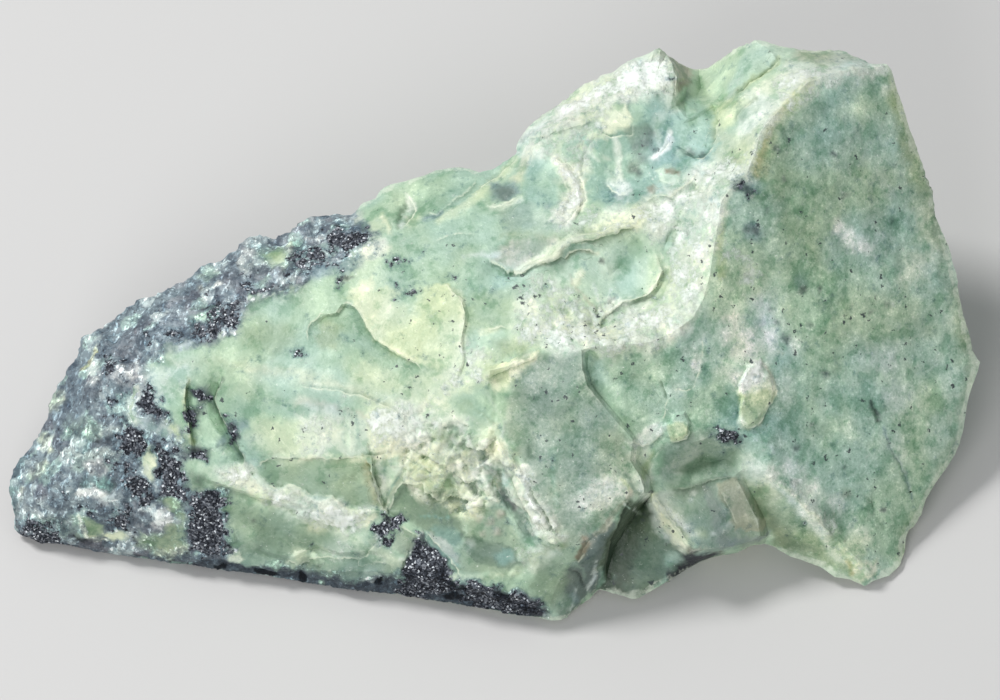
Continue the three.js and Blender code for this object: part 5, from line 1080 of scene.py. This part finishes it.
def scatter(amount, draw, *choices):
    """Paints tones by their cover on the flakes or lumps whose draw lies between two limits."""
    for tone, cover, low, high in choices:
        blend(amount * cover * ((draw > low) & (draw < high)), tone)


def cover_mask(name, amount):
    """Widens a mask by an amount at each point."""
    masks[name] = np.maximum(masks[name], amount)


def ridges(size, long, direction, seed):
    """Splinters that run along a direction of the side, so wide, and long times that."""
    along = u * direction[0] + v * direction[1]
    over = u * -direction[1] + v * direction[0]
    spots = np.column_stack((along / (size * long), over / size, w / (size * long)))
    heights = wander(1, seed, spots) + 0.5 * wander(0.45, seed + 3, spots)
    return 1 - 2 * np.abs(heights)


# Paint and low relief. Borders are frayed by noise, and beside a step, side runs from 0 to 1
# across the edge.
TURNED_AWAY, TURNED_TOWARD = -0.3, 0.1  # between them the side's paint ends
TORN_LEAST, TORN_MORE = 0.3, 0.9  # how far borders are frayed, sharp ones least, mm
PAINT_PAD = 0.5
BORDER_RAMP = 0.12
EDGE_REACH = 0.7
EDGE_FADE = 0.3
STEP_RAMP = 0.08
STEP_FRAY = 0.3
DROP_HOLDS = 0.3  # how far past its line a drop keeps its depth, mm
shown = ramp(normals @ np.array(OUT), TURNED_AWAY, TURNED_TOWARD)
fray = [waves((0.8, 2.6, seed), (0.45, 0.9, seed + 3), (0.35, 0.38, seed + 6)) for seed in (11, 29)]
uneven = np.clip(0.7 + waves((0.6, 1.7, 33), (0.5, 0.7, 35)), 0, 1.5)
tint = np.tile(TONES["green"], (count, 1))
masks = {name: np.zeros(count) for name in MASKS}
lift = np.zeros(count)
for tone, cover, soft, rise, kind, shape in patches:
    torn = TORN_LEAST + TORN_MORE * min(soft, 1)
    some = near(kind, shape, soft + torn + PAINT_PAD, u, v)
    depth = depth_inside(kind, shape, u[some] + torn * fray[0][some], v[some] + torn * fray[1][some])
    if tone in masks:
        field = np.clip(0.5 + depth / (2 * soft), 0, 1) * cover * shown[some]
        masks[tone][some] = np.maximum(masks[tone][some], field)
    elif tone == "bare":
        for name in ("crust", "magnetite"):
            masks[name][some] *= 1 - ramp(depth, -soft, soft) * cover
    else:
        amount = (ramp(depth, -soft, soft) * cover * shown[some])[:, None]
        tint[some] += amount * (np.array(TONES[tone]) - tint[some])
    if rise:
        lift[some] += rise * uneven[some] * ramp(depth, -BORDER_RAMP, max(soft, BORDER_RAMP)) * shown[some]

side = np.zeros(count)
lips = np.zeros(count)
feet = np.zeros(count)
for drop, reach, lip, foot, shape in steps:
    some = near(STEP_WIDTH, shape, reach + BESIDE_STEP, u, v)
    right, fade = beside(shape, u[some] + STEP_FRAY * fray[0][some], v[some] + STEP_FRAY * fray[1][some])
    fall = ramp(right, -STEP_RAMP, STEP_RAMP) * (1 - ramp(right, DROP_HOLDS, reach))
    lift[some] -= drop * fade * fall * shown[some]
    at_edge = fade * ramp(-np.abs(right), -EDGE_REACH - EDGE_FADE, -EDGE_REACH) * shown[some]
    nearer = at_edge > np.maximum(lips, feet)[some]
    side[some] = np.where(nearer, 0.5 + np.clip(right / EDGE_REACH, -1, 1) / 2, side[some])
    lips[some] = np.where(nearer, at_edge * lip, lips[some])
    feet[some] = np.where(nearer, at_edge * foot, feet[some])

# The vein wall's crust goes round the left end to the back and under the stone.
CRUST_END = -14  # where it ends on the back, mm across
CRUST_FADE = 4
behind = 1 - shown
crust_rim = waves((9, 11, 41), (4, 3.5, 43), (1, 1.2, 45))
crust_behind = behind * np.clip((-u + CRUST_END + crust_rim) / CRUST_FADE + 0.5, 0, 1)
cover_mask("crust", crust_behind)
grainy = waves((1, 4.5, 47), (0.5, 1.8, 53))
cover_mask("magnetite", behind * masks["crust"] * np.clip(grainy * 2 + 0.1, 0, 1))

# The green of the back has clouds, stains and bruised seams of its own.
back = behind * (1 - crust_behind)
for tone, cover, size, seed in (("celadon", 0.8, 9, 101), ("fern", 0.8, 7, 103), ("teal", 0.5, 5, 105),
                                ("linen", 0.6, 3.4, 107), ("deep", 0.6, 2.4, 109), ("khaki", 0.4, 4, 121)):
    blend(back * cover * ramp(waves((1, size, seed), (0.3, size / 4, seed + 50)), 0.12, 0.34), tone)
seam = ramp(-np.abs(waves((1, 8, 111), (0.2, 1.6, 113))), -0.09, -0.02)
cover_mask("chalk", back * seam * ramp(wander(10, 115), -0.1, 0.2))
cover_mask("pepper", back * 0.3 * ramp(wander(9, 117), -0.1, 0.3))
cover_mask("mottled", back * 0.8)

# The crust is lumpy, and each lump of it has a tone. Magnetite stands in grains.
ANY = 9  # further than any draw goes
LUMP_HEIGHT, GRAIN_HEIGHT, GRAIN_BED = 0.22, 0.14, 0.1  # mm
crust = masks["crust"]
chalk = masks["chalk"]
crumbs = masks["crumbs"]
lumps, lump_draw = pebbles(1.5, 73)
blend(crust_behind, "mist")
scatter(crust, lump_draw, ("frost", 0.45, 0.8, ANY), ("sea", 0.35, 0.62, 0.8), ("steel", 0.5, -ANY, 0.22),
        ("mauve", 0.5, 0.22, 0.4))
chips, _ = shards(1.1, 75, 0.16)
lift += crust * waves((0.42, 3.2, 61), (0.2, 1.3, 67), (0.14, 0.55, 71))
lift += crust * (LUMP_HEIGHT * lumps + chips)
grains, _ = pebbles(0.8, 77)
lift += masks["magnetite"] * (GRAIN_HEIGHT * grains - GRAIN_BED)

# Bruised rock breaks up in flakes of two sizes, and the crumbs stand out of it.
POWDER_HEIGHT, CRUMB_HEIGHT = 0.09, 0.18  # mm
bruised = np.maximum(chalk, 0.8 * masks["milk"])
flake, flake_draw = shards(2.1, 79, 0.13)
scale, scale_draw = shards(0.95, 85, 0.16)
lift += bruised * (flake + scale + POWDER_HEIGHT * wander(0.6, 83))
scatter(bruised, flake_draw, ("white", 0.6, 0.5, ANY), ("pale", 0.35, -ANY, 0.25))
scatter(bruised, scale_draw, ("sea", 0.3, -ANY, 0.2), ("ivory", 0.4, 0.7, ANY))
big, big_draw = shards(2.3, 87, 0.27)
little, little_draw = shards(1.0, 88, 0.3)
crumb, _ = pebbles(1.3, 89)
lift += crumbs * (big + little + CRUMB_HEIGHT * crumb)
for low, high, tone in ((0, 0.16, "khaki"), (0.16, 0.3, "fern"), (0.3, 0.52, "linen"),
                        (0.52, 0.8, "butter"), (0.8, 1, "white")):
    blend(crumbs * 0.42 * ((big_draw >= low) & (big_draw < high)), tone)
    blend(crumbs * 0.36 * ((little_draw >= low) & (little_draw < high)), tone)
# The low gaps between the crumbs get painted shade.
blend(crumbs * 0.6 * ramp(big + little, -0.12, -0.42), "dusk")
blend(crumbs * 0.45 * ramp(crumb, 0.35, 0.1), "olive_deep")

# Splinters, fine streaks and a fan of blades run along the break, and plain rock is facetted.
SPLINTER_HEIGHT, STREAK_HEIGHT, BLADE_HEIGHT = 0.3, 0.07, 0.26  # mm
SPLINTER_FALL = (0.52, -0.85)
STREAK_RISE = (0.06, 1)
FAN_FOOT = (-11.5, -16.2)
lift += masks["splinters"] * SPLINTER_HEIGHT * ridges(0.9, 7, SPLINTER_FALL, 91)
lift += masks["streaks"] * STREAK_HEIGHT * ridges(0.45, 9, STREAK_RISE, 93)
fan_turn = np.arctan2(v - FAN_FOOT[1], u - FAN_FOOT[0])
lift += masks["fan"] * BLADE_HEIGHT * wander(1, 95, np.column_stack((fan_turn * 5, w * 0.2, u * 0.05)))
FACET_SHADE = 0.1  # how much facets differ in tone
GROUND_ROOM = 1.2  # the relief grows to its full height over this much of the foot, mm
plain = (1 - crust) * (1 - 0.6 * chalk)
facets, facet_draw = shards(4.2, 99, 0.022)
ledges, _ = shards(8, 131, 0.07)
lift += behind * plain * (0.5 * wander(9, 133) + ledges)
lift += plain * (waves((0.1, 6, 89), (0.05, 1.9, 97)) + facets)
tint *= 1 + (FACET_SHADE * plain * (facet_draw - 0.5))[:, None]
rise_room = np.where(on_ground, 0, ramp(points[:, 2], 0, GROUND_ROOM))
points += normals * (lift * rise_room)[:, None]
points[:, 2] = np.maximum(points[:, 2], 0)
normals = put_points()

# Convex borders are bruised pale, and hollows get painted shade.
BULGE_GAIN = 12
BLUR_ROUNDS = 2
bulge = ((points - spread(points)) * normals).sum(axis=1)
for blur_round in range(BLUR_ROUNDS):
    bulge = spread(bulge)

stone = bpy.data.objects.new("stone_surface", stone_mesh)
bpy.context.scene.collection.objects.link(stone)
for polygon in stone_mesh.polygons:
    polygon.use_smooth = True


def keep(name, columns):
    """Stores one colour of four channels per point for the material."""
    layer = stone_mesh.color_attributes.new(name, "FLOAT_COLOR", "POINT")
    layer.data.foreach_set("color", np.column_stack(columns).astype(np.float32).ravel())


ones = np.ones(count)
keep("tint", [tint, masks["mottled"]])
keep("masks", [masks["crust"], masks["magnetite"], masks["chalk"], ones])
# The wear layer holds the bulge, which makes convex borders pale with bruising and puts painted shade in
# hollows, along with the pepper and milk masks.
keep("wear_and_shade", [np.clip(0.5 + bulge * BULGE_GAIN, 0, 1), masks["pepper"], masks["milk"], ones])
keep("edges", [side, lips, feet, ones])

rock = bpy.data.materials.new("serpentinite")
rock.use_nodes = True
nodes = rock.node_tree.nodes
links = rock.node_tree.links
shader = nodes["Principled BSDF"]


def node(kind, **settings):
    """A node with its properties and, where a name is a socket's, its values or links."""
    made = nodes.new(kind)
    sockets = settings.pop("inputs", {})
    for name, value in settings.items():
        setattr(made, name, value)
    for name, value in sockets.items():
        if isinstance(value, bpy.types.NodeSocket):
            links.new(value, made.inputs[name])
        else:
            made.inputs[name].default_value = value
    return made


def calculate(operation, first, second=0.0, third=0.0):
    """The result of a sum on two or three values."""
    return node("ShaderNodeMath", operation=operation, inputs={0: first, 1: second, 2: third}).outputs[0]


def between(value, low, high):
    """0 below low and 1 above high, smooth between."""
    return node("ShaderNodeMapRange", interpolation_type="SMOOTHSTEP",
                inputs={"Value": value, "From Min": low, "From Max": high}).outputs[0]


def mix(amount, first, second, blend="MIX"):
    """Two colours, one over the other."""
    made = node("ShaderNodeMix", data_type="RGBA", blend_type=blend)
    for index, value in ((0, amount), (6, first), (7, second)):
        if isinstance(value, bpy.types.NodeSocket):
            links.new(value, made.inputs[index])
        else:
            made.inputs[index].default_value = value
    return made.outputs[2]


def grain(size, detail, rough, seed, where=None):
    """Noise with lumps of a size in millimetres."""
    return node("ShaderNodeTexNoise", noise_dimensions="4D",
                inputs={"Vector": where or place, "Scale": 1 / size, "Detail": detail, "Roughness": rough,
                        "W": seed}).outputs["Fac"]


def channels(name):
    """The three masks that a colour layer of the mesh holds."""
    layer = node("ShaderNodeVertexColor", layer_name=name).outputs["Color"]
    return node("ShaderNodeSeparateColor", inputs={"Color": layer}).outputs


def around(value, reach, about=0.5):
    """A noise of about 0.5 made one of about zero, reach times as strong."""
    return calculate("MULTIPLY_ADD", value, 2 * reach, -2 * reach * about)


def plus(first, second):
    """Two values added."""
    return calculate("ADD", first, second)


def times(first, second):
    """Two values multiplied."""
    return calculate("MULTIPLY", first, second)


def shade(colour, *layers):
    """A colour multiplied by tones, each where its value goes from low to high, by its cover."""
    for value, low, high, cover, tone in layers:
        colour = mix(times(between(value, low, high), cover), colour, (*tone, 1), "MULTIPLY")
    return colour


def cover_with(colour, *layers):
    """A colour covered by tones, each where its value goes from low to high, by its cover."""
    for value, low, high, cover, tone in layers:
        colour = mix(times(between(value, low, high), cover), colour, (*tone, 1))
    return colour


def streaky(size, long, direction, seed):
    """Noise drawn out along a direction, long times as long as it is wide."""
    way = Vector(direction).normalized()
    along = node("ShaderNodeVectorMath", operation="DOT_PRODUCT", inputs={0: place, 1: way}).outputs["Value"]
    shrunk = node("ShaderNodeVectorMath", operation="SCALE",
                  inputs={0: way, "Scale": times(along, 1 / long - 1)})
    drawn = node("ShaderNodeVectorMath", operation="ADD", inputs={0: place, 1: shrunk.outputs[0]}).outputs[0]
    return grain(size, 3.0, 0.6, seed, drawn)


coordinates = node("ShaderNodeTexCoord").outputs["Object"]
place = node("ShaderNodeVectorMath", operation="SCALE", inputs={0: coordinates, "Scale": MM}).outputs[0]
tint_layer = node("ShaderNodeVertexColor", layer_name="tint").outputs
tint_colour = tint_layer["Color"]
mask = channels("masks")
wear_and_shade = channels("wear_and_shade")
edge = channels("edges")

# Clouds, mottling and threads in the green.
drift = grain(6.5, 2, 0.5, 2)
clouds = grain(3.0, 5, 0.65, 1)
mottle = grain(0.9, 6, 0.75, 3)
fine = grain(0.24, 3, 0.7, 4)
stains = grain(1.9, 3, 0.55, 24)
threads = streaky(0.3, 7.0, (0.75, -0.5, -0.43), 5)
hairs = streaky(0.2, 9.0, (0.35, 0.75, 0.56), 18)
stained = tint_layer["Alpha"]
mottled = calculate("MULTIPLY_ADD", stained, 0.7, 0.3)
colour = shade(
    tint_colour,
    (drift, 0.4, 0.62, 1, (1.04, 1.01, 0.88)), (drift, 0.42, 0.28, 1, (0.93, 0.99, 1.05)),
    (clouds, 0.52, 0.66, 1, (1.34, 1.27, 1.27)), (clouds, 0.49, 0.37, 1, (0.6, 0.72, 0.65)),
    (mottle, 0.53, 0.66, mottled, (1.34, 1.26, 1.3)),
    (mottle, 0.48, 0.34, times(mottled, 0.9), (0.6, 0.74, 0.66)),
    (fine, 0.54, 0.68, mottled, (1.4, 1.3, 1.36)),
    (fine, 0.46, 0.34, times(mottled, 0.6), (0.5, 0.65, 0.56)),
    (stains, 0.53, 0.68, stained, (1.4, 1.3, 1.32)), (stains, 0.47, 0.34, stained, (0.62, 0.74, 0.68)),
    (threads, 0.58, 0.72, 0.5, (1.4, 1.3, 1.4)), (threads, 0.41, 0.28, 0.4, (0.62, 0.76, 0.7)),
    (hairs, 0.62, 0.74, 0.4, (1.4, 1.3, 1.4)))
flecks = plus(grain(0.42, 4, 0.7, 19), around(clouds, 0.15))
colour = cover_with(colour, (flecks, 0.66, 0.71, 0.6, (0.84, 0.88, 0.8)))

# Bruised rock is powdery white in torn flakes, and the green shows between them.
crumble = grain(0.55, 6, 0.8, 6)
flaky = grain(1.8, 5, 0.68, 7)
bruise = calculate("MAXIMUM", times(mask["Blue"], 0.5), wear_and_shade["Blue"])
powder = plus(bruise, plus(around(crumble, 1.0), around(flaky, 0.75)))
yellowed = times(between(grain(2.6, 3, 0.6, 8), 0.5, 0.62), 0.7)
chalk_tone = mix(yellowed, (0.88, 0.93, 0.88, 1), (0.85, 0.90, 0.71, 1))
chalk_tone = mix(0.3, chalk_tone, mix(1.0, tint_colour, (1.15, 1.1, 1.12, 1), "MULTIPLY"))
colour = cover_with(colour, (powder, 0.22, 0.55, 0.5, (0.70, 0.80, 0.69)))
colour = mix(times(between(powder, 0.42, 0.72), 0.8), colour, chalk_tone)
colour = cover_with(colour, (powder, 0.75, 1.0, 0.7, (0.91, 0.94, 0.90)))
# Painted shade in the pits between the powdery flakes.
pit_shade = times(between(crumble, 0.43, 0.33), between(bruise, 0.15, 0.6))
colour = mix(times(pit_shade, 0.75), colour, (0.55, 0.7, 0.56, 1), "MULTIPLY")

# Thin layers end in a bruised, pale lip over a foot in painted shade, and cracks are dark.
across = plus(edge["Red"], around(grain(0.3, 3, 0.7, 20), 0.08))
worn_off = between(grain(1.3, 4, 0.65, 23), 0.4, 0.56)
lip_line = times(between(across, 0.33, 0.46), between(across, 0.53, 0.48))
lip_cover = times(times(lip_line, edge["Green"]), calculate("MULTIPLY_ADD", worn_off, 0.6, 0.1))
foot_line = times(between(across, 0.46, 0.53), between(across, 0.85, 0.54))
foot_cover = times(times(foot_line, edge["Blue"]), calculate("MULTIPLY_ADD", worn_off, 0.4, 0.55))
colour = mix(lip_cover, colour, (0.80, 0.84, 0.66, 1))
colour = mix(foot_cover, colour, (0.26, 0.34, 0.27, 1), "MULTIPLY")

# Broken edges are paler, and hollows get painted shade.
worn = plus(wear_and_shade["Red"], around(mottle, 0.45))
colour = cover_with(colour, (worn, 0.8, 1.1, 0.55, (0.76, 0.82, 0.68)))
colour = shade(colour, (wear_and_shade["Red"], 0.42, 0.12, 0.6, (0.42, 0.55, 0.42)))

# Dark specks of uneven shape, thick where the pepper is.
SPECK_SPACE = 0.62  # mm
bend = node("ShaderNodeTexNoise", inputs={"Vector": place, "Scale": 2.6}).outputs["Color"]
bent = node("ShaderNodeVectorMath", operation="ADD", inputs={0: place, 1: bend})
specks = node("ShaderNodeTexVoronoi", inputs={"Vector": bent.outputs[0], "Scale": 1 / SPECK_SPACE})
chance = node("ShaderNodeSeparateColor", inputs={"Color": specks.outputs["Color"]}).outputs
speck_reach = calculate("MULTIPLY_ADD", times(chance["Green"], chance["Green"]), 0.38, 0.13)
in_speck = between(specks.outputs["Distance"], speck_reach, times(speck_reach, 0.5))
kept = calculate("LESS_THAN", chance["Red"], calculate("MULTIPLY_ADD", wear_and_shade["Green"], 0.7, 0.025))
colour = mix(times(times(in_speck, kept), 0.92), colour, (0.04, 0.055, 0.06, 1))

# Crust: blue-grey and full of pale grains, with a blue seam where it meets the green.
crusted = plus(mask["Red"], around(grain(1.5, 5, 0.72, 9), 0.75))
colour = shade(colour, (crusted, 0.28, 0.5, 0.5, (0.42, 0.55, 0.6)))
tint_parts = node("ShaderNodeSeparateColor", inputs={"Color": tint_colour}).outputs
pale_tint = between(tint_parts["Green"], 0.35, 0.8)
# The darkest tints, among them the painted shade of the hem band and the under facet, mark a dark bed that
# makes the crust and the magnetite darker still.
dark_and_shaded_bed = between(tint_parts["Green"], 0.12, 0.03)
even = calculate("MAXIMUM", between(grain(1.6, 6, 0.75, 10), 0.4, 0.58), times(pale_tint, 0.75))
crust_base = mix(even, (0.46, 0.5, 0.56, 1), (1.2, 1.2, 1.18, 1))
crust_base = mix(1.0, crust_base, tint_colour, "MULTIPLY")
pit_cover = calculate("MULTIPLY_ADD", pale_tint, -0.5, 0.85)
crust_base = shade(
    crust_base,
    (grain(0.6, 4, 0.72, 12), 0.52, 0.62, 1, (1.8, 1.85, 1.8)),
    (streaky(0.5, 2.6, (0.3, 0.8, 0.5), 13), 0.57, 0.64, 1, (2.6, 2.6, 2.5)),
    (grain(0.5, 5, 0.78, 14), 0.44, 0.36, pit_cover, (0.14, 0.14, 0.16)))
crust_base = mix(dark_and_shaded_bed, crust_base, (0.6, 0.62, 0.64, 1), "MULTIPLY")
crust_base = mix(1.0, crust_base, (0.93, 0.95, 0.92, 1), "DARKEN")
colour = mix(between(crusted, 0.44, 0.54), colour, crust_base)

# Magnetite: black metallic grains with a few bright faces, which are painted glints, in clots with a dark
# halo.
clotted = plus(mask["Green"], around(grain(1.1, 5, 0.7, 15), 1.25))
colour = shade(colour, (clotted, 0.1, 0.5, 0.7, (0.42, 0.52, 0.6)))
SPARK_SIZE = 0.17  # mm
sparks = node("ShaderNodeTexVoronoi", inputs={"Vector": place, "Scale": 1 / SPARK_SIZE})
spark = node("ShaderNodeSeparateColor", inputs={"Color": sparks.outputs["Color"]}).outputs
black_base = cover_with(
    (0.012, 0.0145, 0.020, 1),
    (spark["Green"], 0.35, 0.9, 1, (0.078, 0.087, 0.105)),
    (grain(0.8, 4, 0.7, 16), 0.54, 0.68, 1, (0.15, 0.17, 0.20)),
    (spark["Red"], 0.82, 0.86, 0.55, (0.38, 0.40, 0.44)),
    (spark["Blue"], 0.95, 0.97, 1, (0.74, 0.78, 0.82)))
black_base = mix(dark_and_shaded_bed, black_base, (0.22, 0.25, 0.29, 1), "MULTIPLY")
metallic = between(clotted, 0.42, 0.6)
colour = mix(metallic, colour, black_base)

# Waxy where it is plain, and matt where it is powder, magnetite or the dark bed of the crust, which holds
# the hem band's painted shade.
links.new(colour, shader.inputs["Base Color"])
waxy = node("ShaderNodeMapRange",
            inputs={"Value": fine, "From Min": 0.2, "From Max": 0.8, "To Min": 0.32, "To Max": 0.6})
matt = calculate("MAXIMUM", times(between(powder, 0.3, 0.7), 0.85), waxy.outputs[0])
links.new(matt, shader.inputs["Roughness"])
dull = calculate("MAXIMUM", metallic, times(dark_and_shaded_bed, between(mask["Red"], 0.3, 0.6)))
links.new(calculate("MULTIPLY_ADD", dull, -0.28, 0.4), shader.inputs["Specular IOR Level"])
flakes = times(grain(0.5, 2, 0.5, 21), calculate("MULTIPLY_ADD", between(powder, 0.3, 0.8), 0.8, 0.3))
height = plus(calculate("MULTIPLY_ADD", grain(0.9, 3, 0.5, 22), 0.7, flakes), times(fine, 0.18))
FINE_RELIEF = 0.0002  # m
bump = node("ShaderNodeBump", inputs={"Height": height, "Distance": FINE_RELIEF, "Strength": 0.75})
links.new(bump.outputs["Normal"], shader.inputs["Normal"])

stone_mesh.materials.append(rock)
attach(stone, "root")
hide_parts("stone")

# --- Floor, light and camera -----------------------------------------------------------------
# A plain pale floor. A soft lamp stands high on the left and behind, and a weaker one in front.
FLOOR_SIZE = 6
bpy.ops.mesh.primitive_plane_add(size=FLOOR_SIZE)
floor = bpy.context.object
floor.name = "floor"
paint = bpy.data.materials.new("pale_floor")
paint.use_nodes = True
coat = paint.node_tree.nodes["Principled BSDF"].inputs
coat["Base Color"].default_value = (0.62, 0.61, 0.6, 1)
coat["Roughness"].default_value = 0.8
floor.data.materials.append(paint)


def lamp(name, direction, distance, size, power):
    """A soft round lamp that stands in a direction from the stone and shines on it."""
    light = bpy.data.lights.new(name, "AREA")
    light.shape = "DISK"
    light.size = size
    light.energy = power
    holder = bpy.data.objects.new(name, light)
    bpy.context.scene.collection.objects.link(holder)
    toward = Vector(direction).normalized()
    holder.location = toward * distance
    holder.rotation_euler = toward.to_track_quat("Z", "Y").to_euler()


lamp("key", (-0.55, 0.25, 0.85), 0.9, 0.26, 5.6)
lamp("fill", (-0.3, -0.9, 0.65), 1.0, 0.5, 3.6)
world = bpy.data.worlds.new("studio")
bpy.context.scene.world = world
world.use_nodes = True
sky = world.node_tree.nodes["Background"].inputs
sky["Color"].default_value = (0.93, 0.97, 1, 1)
sky["Strength"].default_value = 0.4

CAMERA_DISTANCE = 1.6
SENSOR_WIDTH = 36  # mm
SHOWN_WIDTH = 0.1  # how much of the stone's side the picture is wide, m
AIM_OUT = 20  # how far out of the side's zero point the camera aims, mm
aim = (ZERO + OUT * AIM_OUT) / MM
camera = bpy.data.cameras.new("camera")
camera.sensor_width = SENSOR_WIDTH
camera.lens = SENSOR_WIDTH * CAMERA_DISTANCE / SHOWN_WIDTH
camera.clip_start = 0.1
camera.clip_end = 20
eye = bpy.data.objects.new("camera", camera)
bpy.context.scene.collection.objects.link(eye)
eye.location = aim + OUT * CAMERA_DISTANCE
eye.rotation_euler = OUT.to_track_quat("Z", "Y").to_euler()
bpy.context.scene.camera = eye
bpy.context.scene.view_settings.view_transform = "Standard"
